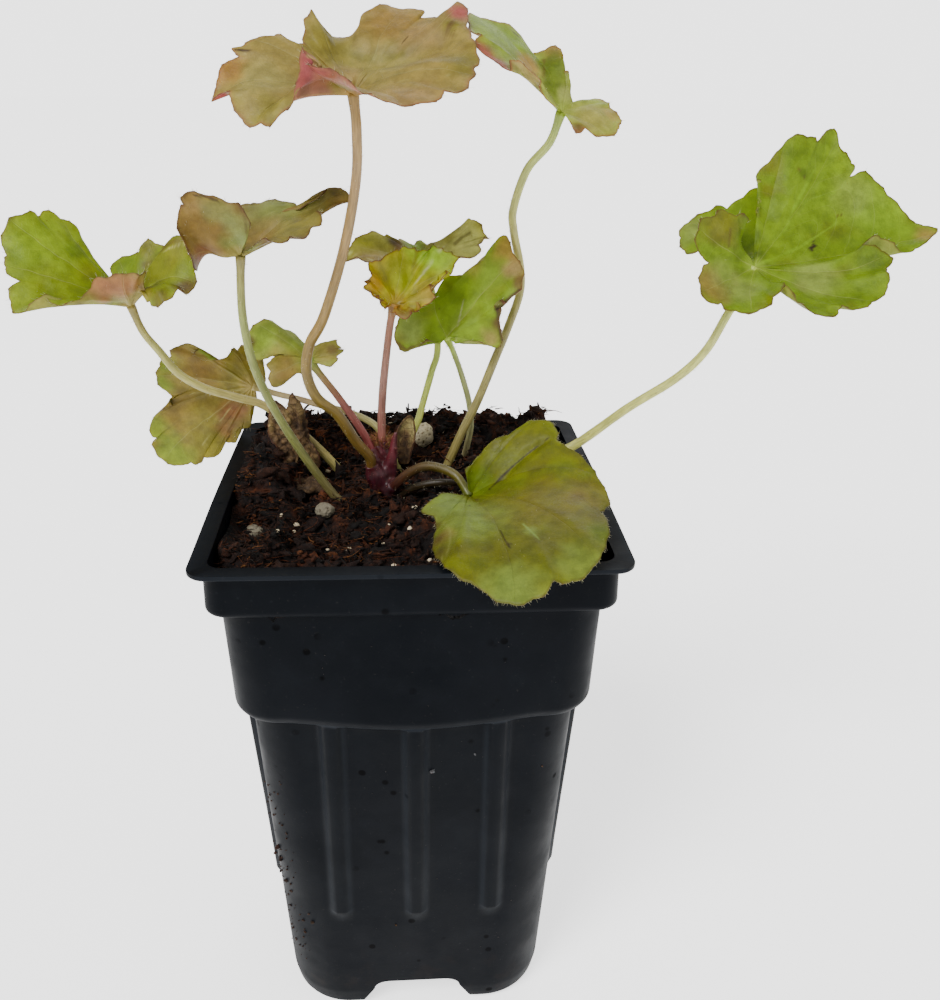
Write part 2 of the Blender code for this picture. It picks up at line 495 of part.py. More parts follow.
def curve_through(keys, steps):
    """Points along a smooth curve through the keys, steps of them to each span."""
    keys = np.array(keys, float)
    ends = np.vstack([2 * keys[0] - keys[1], keys, 2 * keys[-1] - keys[-2]])
    out = []
    for i in range(len(keys) - 1):
        p0, p1, p2, p3 = ends[i:i + 4]
        for k in range(steps):
            t = k / steps
            out.append(0.5 * (2 * p1 + (p2 - p0) * t + (2 * p0 - 5 * p1 + 4 * p2 - p3) * t ** 2
                              + (3 * p1 - p0 - 3 * p2 + p3) * t ** 3))
    out.append(keys[-1])
    return np.array(out)


def shortened(path, length):
    """The path with a length taken off its far end."""
    path = [np.array(p) for p in path]
    while length > 0:
        last = np.linalg.norm(path[-1] - path[-2])
        if last > length:
            path[-1] = path[-1] + (path[-2] - path[-1]) * (length / last)
            return np.array(path)
        length -= last
        path.pop()
    return np.array(path)


def tube_mesh(diameters, keys, grow=0.0, neck=0.0, sides=STALK_SIDES, steps=STALK_STEPS):
    """Points and faces of a tapered round stalk through the keys, widened by grow, short of its end by neck."""
    path = curve_through(keys, steps)
    if neck:
        path = shortened(path, neck)
    if grow:
        first = path[0] + (path[0] - path[1]) / np.linalg.norm(path[0] - path[1]) * grow
        path = np.vstack([first, path])
    along = np.gradient(path, axis=0)
    along /= np.linalg.norm(along, axis=1, keepdims=True)
    across = np.cross(along[0], (0.0, 1.0, 0.1))
    run = np.concatenate([[0], np.cumsum(np.linalg.norm(np.diff(path, axis=0), axis=1))])
    run /= run[-1]
    rings = []
    for point, forward, share in zip(path, along, run):
        across = across - forward * (across @ forward)
        across /= np.linalg.norm(across)
        other = np.cross(forward, across)
        radius = (diameters[0] + (diameters[1] - diameters[0]) * share) / 2 + grow
        ring = []
        for i in range(sides):
            turn = 2 * math.pi * i / sides
            ring.append(point + radius * (math.cos(turn) * across + math.sin(turn) * other))
        rings.append(ring)
    return loft(rings)


def tube(name, diameters, keys, material, grow=0.0, sides=STALK_SIDES):
    """A stalk or sheath as a solid."""
    points, faces = tube_mesh(diameters, keys, grow, sides=sides)
    return solid(name, points, faces, material)


def margin_of(leaf, steps):
    """The margin as rows of x, y, z and arch; smooth along a lobe, sharp at a notch."""
    runs, run = [], []
    for key in leaf.margin:
        row = (*key[1:4], key[4] if len(key) > 4 else leaf.arch)
        run.append(row)
        if key[0] == "S":
            runs.append(run)
            run = [row]
    runs.append(run)
    rows = [np.array(runs[0][:1])]
    for run in runs:
        if len(run) > 1:
            rows.append(curve_through(run, steps)[1:])
    return np.vstack(rows)


def unit(rows):
    """Rows scaled to length one."""
    return rows / np.maximum(np.linalg.norm(rows, axis=-1, keepdims=True), 1e-9)


def eased_ways(margin, up, rounds):
    """Unit directions to the margin, smoothed and never turning back round the seat."""
    east = unit(np.cross(up, margin[0]))
    north = np.cross(up, east)
    ways = unit(margin)
    turn = np.unwrap(np.arctan2(ways @ north, ways @ east))
    turn = (np.maximum.accumulate(turn) + np.minimum.accumulate(turn[::-1])[::-1]) / 2
    turn = 0.88 * turn + 0.12 * np.linspace(turn[0], turn[-1], len(turn))
    rise = np.arcsin(ways @ up)
    for _ in range(rounds):
        for row in (turn, rise):
            row[1:-1] = 0.5 * row[1:-1] + 0.25 * (row[:-2] + row[2:])
    flat = np.cos(turn)[:, None] * east + np.sin(turn)[:, None] * north
    return np.cos(rise)[:, None] * flat + np.sin(rise)[:, None] * up


def blade_sheet(leaf, steps, shares):
    """The blade's middle sheet: one row of points for each share of the way to the margin."""
    rows = margin_of(leaf, steps)
    margin, arch = rows[:, :3], rows[:, 3]
    reach = np.linalg.norm(margin, axis=1)
    towards = unit(margin)
    up = unit(np.cross(margin[:-1], margin[1:]).sum(0))
    eased = eased_ways(margin, up, 4 * steps * steps)
    sheet = []
    for share in shares:
        way = unit(eased * (1 - share ** 3) + towards * share ** 3)
        lift = 2 * share * (1 - share) * arch * reach
        sheet.append(share * reach[:, None] * way + lift[:, None] * up)
    return np.array(sheet) + np.array(leaf.seat, float), up


def sheet_normals(sheet, up):
    """A unit normal for each point of a sheet whose first row is one point."""
    out = np.zeros_like(sheet)
    rows, count = sheet.shape[:2]
    for r in range(rows - 1):
        for c in range(count - 1):
            a, b, d, e = sheet[r, c], sheet[r, c + 1], sheet[r + 1, c], sheet[r + 1, c + 1]
            first, second = np.cross(d - a, e - a), np.cross(e - a, b - a)
            out[r, c] += first + second
            out[r + 1, c] += first
            out[r + 1, c + 1] += first + second
            out[r, c + 1] += second
    out[0] = up
    return unit(out)


def blade_mesh(sheet, offset):
    """Points and faces of a closed blade, and the place in the sheet that each point belongs to."""
    rows, count = sheet.shape[:2]
    points = [sheet[0, 0] + offset[0, 0], sheet[0, 0] - offset[0, 0]]
    places = [(0, 0), (0, 0)]
    for side in (1, -1):
        for r in range(1, rows):
            points += [sheet[r, c] + side * offset[r, c] for c in range(count)]
            places += [(r, c) for c in range(count)]

    def at(side, r, c):
        if r == 0:
            return side
        return 2 + side * (rows - 1) * count + (r - 1) * count + c

    faces = []
    for side in (0, 1):
        for r in range(rows - 1):
            for c in range(count - 1):
                a, b, d, e = at(side, r, c), at(side, r, c + 1), at(side, r + 1, c), at(side, r + 1, c + 1)
                for face in ([(a, d, e)] if r == 0 else [(a, d, e), (a, e, b)]):
                    faces.append(face if side == 0 else face[::-1])
    last = rows - 1
    for c in range(count - 1):
        faces += [(at(0, last, c), at(1, last, c), at(1, last, c + 1)),
                  (at(0, last, c), at(1, last, c + 1), at(0, last, c + 1))]
    for r in range(rows - 1):
        for c, turned in ((0, False), (count - 1, True)):
            wall = [at(0, r, c), at(0, r + 1, c), at(1, r + 1, c), at(1, r, c)]
            if turned:
                wall.reverse()
            wall.reverse()
            faces.append(tuple(wall[:3]))
            faces.append((wall[0], wall[2], wall[3]))
    return points, faces, places


def crossing_places(points, faces, places):
    """The places in the sheet whose faces pass through one another."""
    tree = BVHTree.FromPolygons([tuple(p) for p in points], faces)
    found = set()
    for one, other in tree.overlap(tree):
        if one < other and not set(faces[one]) & set(faces[other]):
            found.update(places[i] for i in faces[one] + faces[other])
    return found


def keep_outer_shell(obj):
    """Drop the small pockets that hang on the rest of a blade by nothing but an edge."""
    bm = bmesh.new()
    bm.from_mesh(obj.data)
    shells, seen = [], set()
    for start in bm.faces:
        if start in seen:
            continue
        shell, waiting = [], [start]
        seen.add(start)
        while waiting:
            face = waiting.pop()
            shell.append(face)
            for edge in face.edges:
                if len(edge.link_faces) == 2:
                    waiting += [other for other in edge.link_faces if other not in seen]
                    seen.update(edge.link_faces)
        shells.append(shell)
    shells.sort(key=len)
    for shell in shells[:-1]:
        bmesh.ops.delete(bm, geom=shell, context="FACES")
    bm.to_mesh(obj.data)
    bm.free()


def blade(name, leaf, material, steps=1, grow=0.0):
    """A thin closed leaf blade with both faces split into the same triangles."""
    sheet, up = blade_sheet(leaf, steps, BLADE_RINGS)
    way = sheet_normals(sheet, up)
    way[1] = unit(way[1] + up)
    last = sheet.shape[1] - 1
    for _ in range(EASING_ROUNDS):
        points, faces, places = blade_mesh(sheet, way * (BLADE_THICKNESS / 2 + grow))
        crossing = crossing_places(points, faces, places)
        if not crossing:
            break
        eased = way.copy()
        for r, c in crossing:
            beside = way[r, max(c - 1, 0)] + way[r, min(c + 1, last)]
            eased[r, c] = way[r, c] + beside * 0.5 + up * 0.35
        way = unit(eased)
    made = solid(name, points, faces, material)
    if crossing:
        combine(made, [grain("knob", leaf.seat, (0.8, 0.8, 0.8), grow)], "UNION", self_crossing=True)
        keep_outer_shell(made)
    return made


def grain(name, centre, half_sizes, grow=0.0):
    """A lumpy perlite grain."""
    draw = random.Random(SEED + int(centre[0]))
    phase = [draw.uniform(0, math.tau) for _ in range(4)]
    sides, levels = 8, 5
    rings = []
    for k in range(1, levels):
        tilt = math.pi * k / levels
        ring = []
        for i in range(sides):
            turn = math.tau * i / sides
            bump = 1 + 0.12 * math.sin(2 * turn + phase[0] + tilt) + 0.1 * math.cos(3 * turn + phase[1] - 2 * tilt)
            direction = (math.cos(turn) * math.sin(tilt), math.sin(turn) * math.sin(tilt), -math.cos(tilt))
            ring.append([c + (h * bump + grow * 2) * d for c, h, d in zip(centre, half_sizes, direction)])
        rings.append(ring)
    points, faces = loft(rings)
    return solid(name, points, faces, "perlite", smooth=False)


def build_crown():
    """The magenta crown: a short stock with sheaths, and a socket for each stalk it clasps."""
    parts = []
    for first, last, keys in SHEATHS:
        parts.append(tube("crown", (first, last), keys, "crown_magenta", sides=10))
    crown = parts[0]
    combine(crown, parts[1:], "UNION")
    for letter in ("a", "h", "i", "d", "g", "stub"):
        combine(crown, [stalk_cutter(letter)], "DIFFERENCE")
    return crown


def crown_cutter():
    """The crown's outline grown by the clearance, to cut its hole in the peat."""
    parts = []
    for first, last, keys in SHEATHS:
        parts.append(tube("cutter", (first, last), keys, "crown_magenta", grow=GAP, sides=10))
    combine(parts[0], parts[1:], "UNION")
    return parts[0]


def stalk_cutter(letter):
    """A stalk grown by the clearance, to cut its hole."""
    first, last, keys = STALKS[letter]
    return tube("cutter", (first, last), keys, STALK_FINISH[letter], grow=GAP)


def stalk(letter, leaf_blade):
    """One leaf stalk, drawn back from its leaf's seat just far enough to clear the blade."""
    first, last, keys = STALKS[letter]
    neck = 0.0
    if leaf_blade:
        mesh = leaf_blade.data
        tree = BVHTree.FromPolygons([v.co for v in mesh.vertices], [face.vertices for face in mesh.polygons])
        touching = True
        while touching and neck < LONGEST_NECK:
            neck += 0.1
            points, faces = tube_mesh((first, last), keys, grow=GAP, neck=neck - GAP)
            touching = tree.overlap(BVHTree.FromPolygons([tuple(p) for p in points], faces))
    name = "short_stalk" if letter == "stub" else "stalk_" + letter
    points, faces = tube_mesh((first, last), keys, neck=neck)
    return solid(name, points, faces, STALK_FINISH[letter])


def stand_over_origin(objects):
    """Turn millimetres into metres, feet on z = 0 and the middle of the bounding box at the origin."""
    corners = np.array([v.co for obj in objects for v in obj.data.vertices])
    low, high = corners.min(0), corners.max(0)
    shift = Vector((-(low[0] + high[0]) / 2, -(low[1] + high[1]) / 2, -low[2]))
    for obj in objects:
        for vertex in obj.data.vertices:
            vertex.co = (vertex.co + shift) * MM
        obj.data.update()


def main():
    """Build every piece."""
    clear_scene()
    pieces = [build_pot()]
    rooted = [crown_cutter()]
    rooted += [stalk_cutter(letter) for letter in ("b", "c", "e", "f", "g", "j", "k", "stub")]
    rooted += [grain("cutter", *PERLITE[name], grow=GAP) for name in PERLITE]
    pieces.append(build_soil(rooted))
    pieces.append(build_crown())
    for letter, leaf in LEAVES.items():
        steps = 2 if letter in ("d", "k") else 1
        leaf_blade = blade("blade_" + letter, leaf, BLADE_FINISH[letter], steps)
        pieces += [leaf_blade, stalk(letter, leaf_blade)]
    pieces.append(stalk("stub", None))
    for name, leaf in DEAD_LEAVES.items():
        pieces.append(blade(name, leaf, "withered"))
    pieces.append(blade("bract", BRACT, "withered"))
    for name, (centre, half_sizes) in PERLITE.items():
        pieces.append(grain(name, centre, half_sizes))
    stand_over_origin(pieces)


main()
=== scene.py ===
"""Coral bells in a square nursery pot: the looks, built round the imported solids.

Every length below is in millimetres, measured from the centre of the pot's
rim: X to the right, Y away from the front, Z up, unless its name says
otherwise.  A place in the photograph is in pixels of its 940 by 1000 frame.
"""
import math
import random
import re

import bmesh
import bpy
import numpy as np
from mathutils import Matrix, Vector, noise
from mathutils.bvhtree import BVHTree


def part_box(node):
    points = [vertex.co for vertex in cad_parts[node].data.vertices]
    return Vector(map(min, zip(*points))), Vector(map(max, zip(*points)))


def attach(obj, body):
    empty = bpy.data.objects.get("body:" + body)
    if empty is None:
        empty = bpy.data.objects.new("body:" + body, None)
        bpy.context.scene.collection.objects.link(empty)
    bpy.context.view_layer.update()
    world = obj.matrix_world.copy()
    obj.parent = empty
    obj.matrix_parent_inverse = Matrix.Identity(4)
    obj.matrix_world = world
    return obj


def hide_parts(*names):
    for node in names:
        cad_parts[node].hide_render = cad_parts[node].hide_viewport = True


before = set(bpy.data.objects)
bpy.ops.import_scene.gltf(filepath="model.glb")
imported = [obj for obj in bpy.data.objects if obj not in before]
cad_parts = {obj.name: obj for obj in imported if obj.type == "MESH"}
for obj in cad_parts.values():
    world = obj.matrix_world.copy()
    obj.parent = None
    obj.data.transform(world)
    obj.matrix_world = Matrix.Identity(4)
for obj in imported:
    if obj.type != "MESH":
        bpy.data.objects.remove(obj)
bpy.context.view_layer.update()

MM = 0.001
pot_low, pot_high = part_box("pot")
RIM = np.array(((pot_low[0] + pot_high[0]) / 2, (pot_low[1] + pot_high[1]) / 2, pot_high[2]))

# The camera, solved from the photograph
EYE = np.array((-1.758, -217.735, 92.670))
FORWARD = np.array((0.06630, 0.91138, -0.40619))
RIGHT = np.array((0.99772, -0.06584, 0.01514))
UPWARD = np.array((0.01295, 0.40627, 0.91366))
FOCAL_PX = 991.29
FRAME_PX = (940.0, 1000.0)
SENSOR = 36.0

# Pot
POT_HEIGHT = 134.6
WALL = 1.0              # thickness of the moulded wall
CORNER_STEPS = 6        # points round half a corner
LEDGE_Z = -11.2         # underside of the collar
BELT_Z = -39.5          # underside of the belt
BELT_HALF = 38.9        # half the belt's width there
BASE_ROOM = 9.0         # height of the channels between the feet
FLOOR_Z = -POT_HEIGHT + BASE_ROOM + 1.2
RIB_WIDTH = 5.6
RIB_PITCH = 18.3
RIB_FOOT_Z = -101.0
RIB_PROUD = (2.2, 1.5)  # how far a rib stands out, at the belt and at its foot
CHANNEL_WIDTH = (29.0, 19.0)   # of the arch between two feet, at its foot and at its top
CHANNEL_REACH = 60.0    # it is cut out this far to either side of the pot's axis
DRAIN_STEPS = 28        # points round a drain hole
FLANGE_NEAR = 44.3      # the rim's flange carries a painted highlight from here outwards
INNER_REACH = 33.0      # and the flanks of the ribs, which carry it too, lie further out than this
DRAIN_RADIUS = 4.0
DRAIN_REACH = 17.0      # drain holes lie this far from the pot's axis

# Soil
SOIL_FRONT_Z = -8.0
SOIL_RISE = 13.0        # the back is mounded up this much
SOIL_POINTS, SOIL_RINGS = 400, 72   # of its surface: points to a ring, and rings
SQUARENESS = 7.0        # of its outline, which would be round at 2
DIAGONAL = 0.7071       # how far the middle of a round corner stands out, of its radius
SEED = 7                # of the lumps in the soil
CRUMB_SEED, CROWN_SEED, DIRT_SEED = 41, 23, 77

# Outer profile of the pot, from the rim down: height, half width at a side's
# ends, corner radius, and how far the middle of a side is bowed out
POT_OUTSIDE = (
    (0.0, 45.0, 4.2, 0.3),
    (-1.2, 45.0, 4.2, 0.3),
    (-1.3, 42.4, 4.2, 0.3),
    (-10.2, 42.6, 4.4, 0.3),
    (LEDGE_Z, 41.9, 4.4, 0.3),
    (LEDGE_Z - 0.1, 40.6, 8.5, 0.4),
    (-24.0, 40.2, 9.2, 1.9),
    (-37.6, 39.8, 9.8, 3.7),
    (BELT_Z, 38.9, 9.8, 3.7),
    (BELT_Z - 0.3, 36.8, 9.8, 3.7),
    (-68.0, 35.6, 11.5, 2.4),
    (-98.0, 34.3, 13.5, 1.0),
    (-129.0, 32.9, 15.0, 0.0),
    (-133.2, 32.2, 15.0, 0.0),
    (-POT_HEIGHT, 30.6, 14.0, 0.0),
)
POT_INSIDE = (
    (0.0, 41.3, 3.2, 0.3),
    (LEDGE_Z + WALL, 41.5, 3.4, 0.3),
    (LEDGE_Z + WALL - 0.2, 39.6, 7.5, 0.4),
    (-24.0, 39.2, 8.2, 1.9),
    (BELT_Z + WALL, 38.7, 8.8, 3.7),
    (BELT_Z + WALL - 0.2, 35.8, 8.8, 3.7),
    (-68.0, 34.6, 10.5, 2.4),
    (-98.0, 33.3, 12.5, 1.0),
    (FLOOR_Z, 32.0, 14.0, 0.0),
)


class Leaf:
    """A blade: its seat, the arch of its ribs as a share of their reach, and its margin."""

    def __init__(self, seat, arch, margin):
        self.seat = seat
        self.arch = arch
        self.margin = [(word[0], *map(float, word[1:].split(","))) for word in margin.split()]


# Leaf blades.  Each has the seat where its stalk joins it, and the points of
# its margin measured from that seat, counter-clockwise seen from above.
# "S" is the bottom of a notch between two lobes, "L" a point on the round of
# a lobe, "E" an end of the margin at the basal cleft.  A fourth number is the
# arch there, where it isn't the whole leaf's.
LEAVES = {
    "a": Leaf((-11, 0, 86), arch=0.1, margin="""
        E-11,5,7.5 L-13,7,10.5 L-18.5,8,10 L-23,6,8 S-24.5,4,6 L-27,2,2.5 L-28,-1,-1.5 S-23,-5,1
        L-22.5,-8,-3 L-19,-10,-5.5 L-15,-11,-5.5,0.35 L-11,-11,-1.5,0.4 L-10,-9,2.5,0.3 S-8,-8,7
        L-2,-9,4.5 L2.5,-13,0.5 L8,-16,-1 L14,-16,-1 S18,-14,0.5 L22.5,-12,1 L25,-4,6 S23.5,6,12
        L23.5,12,16.5 L21.5,15,17 S18.5,14,14 L14.5,18,15.5 L10,20,16.5 L4.5,19,16.5 S-0.5,14,11
        L-5,13,11.5 L-8,12,15.5 L-10,10,12.5 E-10,7,8.5"""),
    "b": Leaf((33.5, 12, 82.5), arch=0.06, margin="""
        E3.5,-4,-2.5 L7,-5,-4.5 L11,-3,-4 S12.5,0,-2.5 L13.5,2,-0.5 L11,6,2 L8,7,2.5 L4,6,1 S2.5,5,4
        L2,6,8 L1,9,11 S0.5,10,12 L-2,12,13 L-5.5,13,11.5 L-8.5,13,16 L-14,11,18.5 L-20.5,6,19
        L-20,-2,15.5 S-17,-6,14.5 L-14.5,-8,11.5 L-12.5,-9,8.5 S-10.5,-7,10 L-5.5,-6,7 L-4.5,-6,4
        E-2.5,-4,1.5"""),
    "c": Leaf((78.5, 5, 50.5), arch=-0.1, margin="""
        E2.5,17,13 L-5.5,16,10 L-14,12,7 L-15,9,3 S-7.5,4,5.5 L-5.5,0,11 L-11.5,-2,11.5 L-15.5,-4,8.5
        L-15,-5,4.5 S-12.5,-5,2 L-15,-8,0 L-15,-12,-4 S-11.5,-13,-5.5 L-9,-14,-7 L-3,-15,-6.5 L1,-14,-4
        S3.5,-10,-1.5 L5.5,-13,-5 L11.5,-14,-8 S16,-13,-7.5 L22,-11,-7 L27.5,-8,-3.5 S28.5,-6,-1
        L29.5,-3,2 L28,-1,4 S24.5,0,5 L29,2,6.5 L35.5,2,3 L40.5,3,4.5 L44.5,6,7 L39.5,10,9.5 L33.5,14,15
        S27,16,19 L24.5,20,24 L23.5,24,28.5 S18,20,26 L13.5,20,27 L8,19,23.5 L3.5,17,18.5 E3.5,14,14"""),
    "d": Leaf((13.5, -8, 0), arch=0.2, margin="""
        E-3,-4,1.5 L-7.5,-8,4 L-11.5,-13,2.5 S-8.5,-18,2 L-9.5,-29,1.5 L-6.5,-39,1.5 S-3,-43,0 L0.5,-46,-1
        L5.5,-48,-1.5 L11,-47,0 S13,-45,2 L16.5,-44,1 L21.5,-40,2.5 L26,-31,4 S25.5,-23,6 L28.5,-17,7
        L26.5,-10,10 L22.5,-3,13 S19.5,0,14.5 L19,4,16.5 L15.5,6,16.5 L9,5,13.5 L3.5,3,10.5 E1.5,1,7"""),
    "e": Leaf((-63, 10, 40.5), arch=0.1, margin="""
        E8,3,9.5 L6.5,6,12.5 L3.5,7,13.5 S2,6,10.5 L-2,9,10 L-5,8,8 S-5,5,6 L-8.5,4,5.5 L-11,5,11
        L-13,6,17 L-16.5,6,19.5 S-18.5,4,19 L-22,2,19 L-24.5,-2,15.5 S-23.5,-4,12 L-24,-6,9 S-21,-7,7
        L-23,-9,4 L-21.5,-10,1 L-18.5,-10,2.5 S-15,-9,4.5 L-14,-10,3 L-10,-11,3 S-6,-9,4.5 L-4,-9,8
        L1.5,-10,9 L5,-10,8.5 S6,-7,9 L6,-6,5.5,0.5 L7,-8,2.5,0.5 L10.5,-11,2.5,0.45 L14,-8,5.5,0.35
        L15.5,-4,9.5,0.25 L13,0,13,0.2 E10.5,2,13.5"""),
    "f": Leaf((-36, 0, 53.5), arch=0.05, margin="""
        E2.5,-3,1.5 L6,-7,4.5 L10,-10,4.5 L14,-9,5.5 L16.5,-6,6 S17.5,-2,8.5 L20.5,1,9.5 L23.5,5,11
        L21.5,6,13 L18.5,6,13 S12.5,5,8.5 L11,8,9.5 L5,10,10.5 L-1,10,9 L-8,8,6 L-11.5,3,2 L-8.5,-3,-2
        L-9.5,-8,2.5 L-10.5,-9,8.5 L-9,-10,13.5 L-3,-10,12.5 L2,-9,11.5 L3.5,-7,7.5 E1.5,-3,2.5"""),
    "g": Leaf((-40.5, 32, 14.5), arch=0.08, margin="""
        E0.5,0,-2.5 L-0.5,1,-7.5 L-2.5,3,-12.5 S-6.5,4,-14 L-8,5,-17 L-11.5,6,-21 L-15,6,-21.5 S-16,7,-23
        L-19.5,7,-24 L-24,8,-25.5 L-28,8,-23.5 L-29.5,7,-18.5 S-27.5,6,-16.5 L-29,6,-13 L-26.5,5,-8.5
        S-21,3,-4.5 L-24,2,-0.5 L-23.5,0,5 S-20,-1,8 L-19,-3,10.5 L-15.5,-3,12 L-13,-3,11 S-11.5,-2,7
        L-7.5,-2,7 L-3.5,-1,10 L3,0,7.5 E3.5,0,3"""),
    "h": Leaf((-24, 14, 26.5), arch=0.1, margin="""
        E2,-1,-1 L5,-2,-1 S6,-1,0.5 L7.5,0,2 S6,1,2.5 L6,2,4 L3.5,3,3.5 S0.5,3,1.5 L-1.5,4,2.5 L-4.5,6,4.5
        S-8,6,6.5 L-9,7,8 L-12,6,7.5 L-14,4,5.5 S-11,2,1.5 L-9,2,2 S-6.5,1,0 L-9.5,-2,-0.5 L-9,-4,-3.5
        L-6.5,-4,-5 L-3.5,-3,-3 E-1.5,-1,-2"""),
    "i": Leaf((-3.5, 10, 41), arch=-0.12, margin="""
        E1.5,-2,-1 L3.5,-4,-2 S4.5,-3,-0.5 L7,-3,0 L9.5,-2,2.5 S8.5,-1,4 L11.5,0,5.5 L15,4,10 S11,5,11
        L8.5,7,12 S6.5,6,11 L4,7,11.5 L2,7,12.5 S1,6,11 L-2,4,11 L-5,1,10 S-5,-1,7.5 L-6,-3,5 S-4.5,-3,3.5
        L-3.5,-4,1.5 E-1.5,-3,-0.5"""),
    "j": Leaf((4, 24, 48), arch=0, margin="""
        E4,-2,1 L7,-4,2.5 L10,-4,2 S12,-2,4 L14.5,0,6.5 L10.5,3,9.5 L8.5,4,7 S2,5,3 L-1,7,4 S-3,6,3
        L-5,6,4 S-7.5,4,4 L-11,5,6 L-15,3,6 L-18,0,4 L-18.5,-4,1 S-16,-5,2 L-12.5,-6,1 L-9.5,-5,2
        E-5,-3,0.5"""),
    "k": Leaf((9, 16, 31.5), arch=-0.06, margin="""
        E2,-1,-1.5 L6.5,-2,-0.5 L12,-3,-1 S13,-4,1.5 L11.5,-3,7.5 L16.5,-3,12.5 L18,0,16 L16,3,20 L14,4,23
        S11.5,5,20.5 L6.5,5,16.5 L0,6,13.5 L-4,4,8.5 L-11.5,1,5 L-12.5,-2,1 L-10.5,-2,-2.5 L-5.5,-1,-1
        E-1.5,-1,-1.5"""),
}

# Leaf stalks: diameter at the foot and at the blade, then points along them
STALKS = {
    "a": (2.6, 2.1, ((-8, 8.5, -3), (-9.5, 7.5, 1), (-10, 6.5, 4.5), (-13, 5, 9), (-17, 3, 16.5),
                     (-21.5, 2, 21), (-23.5, 2, 27), (-22.5, 2, 33.5), (-19, 2, 40), (-14, 1, 55),
                     (-11, 1, 69), (-10.5, 0, 79), (-11, 0, 86))),
    "b": (2.3, 1.8, ((7, 18, -9), (9, 18, -3.5), (13, 18.5, 6), (17, 19, 14.5), (21, 20, 24.5),
                     (24.5, 21.5, 33), (27, 22.5, 40.5), (27, 22.5, 46.5), (25, 21.5, 55.5),
                     (24.5, 19.5, 61), (27, 16.5, 70), (31.5, 14, 76), (33.5, 12, 82.5))),
    "c": (2.5, 1.9, ((16, 15, -10), (22, 15, -5), (31, 15.5, -0.5), (41, 16, 3), (53.5, 12, 14.5),
                     (64, 9, 23), (69.5, 6, 30.5), (73, 4.5, 39), (76.5, 4.5, 46.5), (78.5, 5, 50.5))),
    "d": (2.6, 2.1, ((-6, 9.5, -9), (-5.5, 8, -5.5), (-3.5, 5, -2), (-0.5, 3, 1.5), (3, 1, 4),
                     (6.5, -1, 4.5), (10.5, -4, 3.5), (13.5, -8, 0))),
    "e": (2.3, 1.7, ((-15, 16, -9), (-18, 16, -3), (-23, 16.5, 3), (-29.5, 17, 9), (-36, 16.5, 14.5),
                     (-42, 15, 17), (-49, 13, 20), (-54.5, 12, 24), (-58, 11, 29.5), (-61, 10, 34.5),
                     (-63, 10, 40.5))),
    "f": (2.2, 1.8, ((-14.5, 4.5, -13), (-17, 4, -6.5), (-19, 4, -4), (-24.5, 3, 5), (-30, 2, 15.5),
                     (-33.5, 1, 24), (-35.5, 0, 31.5), (-36.5, 0, 39.5), (-36.5, 0, 46), (-36, 0, 53.5))),
    "g": (1.9, 1.5, ((-2, 15, -9), (-3.5, 17, -2), (-6.5, 20, 4), (-9.5, 22, 7.5), (-15.5, 25, 9.5),
                     (-23, 28, 10.5), (-28.5, 30, 11.5), (-35, 32, 12.5), (-40.5, 32, 14.5))),
    "h": (2.1, 1.6, ((-7.5, 10.5, -1), (-9, 10.5, 3.5), (-11, 11, 8), (-14, 11.5, 13), (-17.5, 12.5, 18),
                     (-20.5, 13, 22), (-24, 14, 26.5))),
    "i": (2.1, 1.7, ((-7, 12.5, 1), (-7, 12.5, 6), (-7, 12, 12), (-6.5, 11, 20), (-5.5, 11, 28.5),
                     (-4.5, 10, 36), (-3.5, 10, 41))),
    "j": (1.9, 1.5, ((-2.5, 20, -8), (-2, 20, -2.5), (-1, 20, 2), (2, 21, 8.5), (3, 21.5, 12),
                     (5.5, 22, 21), (7, 22.5, 26.5), (6.5, 23.5, 36.5), (4, 24, 48))),
    "k": (1.7, 1.3, ((14, 23, -8), (14, 22.5, -2.5), (15.5, 22, 6), (15, 21.5, 13), (13, 20.5, 20.5),
                     (11, 18.5, 26.5), (9, 16, 31.5))),
    "stub": (2.0, 1.6, ((-4, 8, -8), (-1, 5.5, -4), (3, 3, -1.5), (7, 2, -0.5), (11, 2.5, -1))),
}

# The crown: tapered sheaths that clasp the feet of the stalks, each with its
# diameter at the foot and at the lip and its points
SHEATHS = (
    (9.0, 7.0, ((-6.5, 10, -22), (-6.5, 10, -12), (-6.5, 10, -3.5))),
    (6.5, 4.4, ((-6.5, 9.5, -6), (-8.3, 8.2, -1.5), (-9.6, 7.4, 2.2))),
    (6.0, 3.8, ((-6.8, 10, -5), (-8.2, 10.4, 0.5), (-9.8, 10.7, 5.2))),
    (6.0, 4.0, ((-6.8, 11, -5), (-7, 12.2, 1), (-7, 12.5, 6.5))),
    (5.0, 0.9, ((-6, 9.5, -4), (-4.6, 8.8, 3), (-3.4, 8.5, 10))),
    (6.0, 4.6, ((-6.2, 10, -8), (-5.4, 7.8, -5.2), (-4, 5.8, -2.6))),
)

# The withered leaf crumpled against the left rim, and its fallen half
DEAD_LEAVES = {
    "dead_leaf": Leaf((-26.5, 11, 5), arch=0.12, margin="""
        E5,0.5,-7.5 L6.5,-1,-2 S3.5,1,2 L2,1.5,8 L-2,0,14.5 S-4,1.5,9 L-8.5,2,12 L-10.5,-1,5 S-7,-1.5,1
        L-8.5,1,-6.5 E-3.5,1.5,-8.5"""),
    "dead_leaf_half": Leaf((-29, 5, -4.5), arch=0.15, margin="""
        E3,-1,0.5 L7.5,1,0 L8,4,2.5 S4,4,2 L0,5,2.5 L-5,3,1 S-4.5,1,0.5 L-7,-2,0.5 E-2,-3,0.5"""),
}
BRACT = Leaf((-1.5, 12.5, 0), arch=0.2, margin="""
        E-1.2,-0.6,0.5 L-2.2,-0.8,4 L-1.8,-0.5,9 L1.5,0,13 L2.6,-0.6,9 L1.6,-1.2,4 E0.8,-0.8,0.5""")

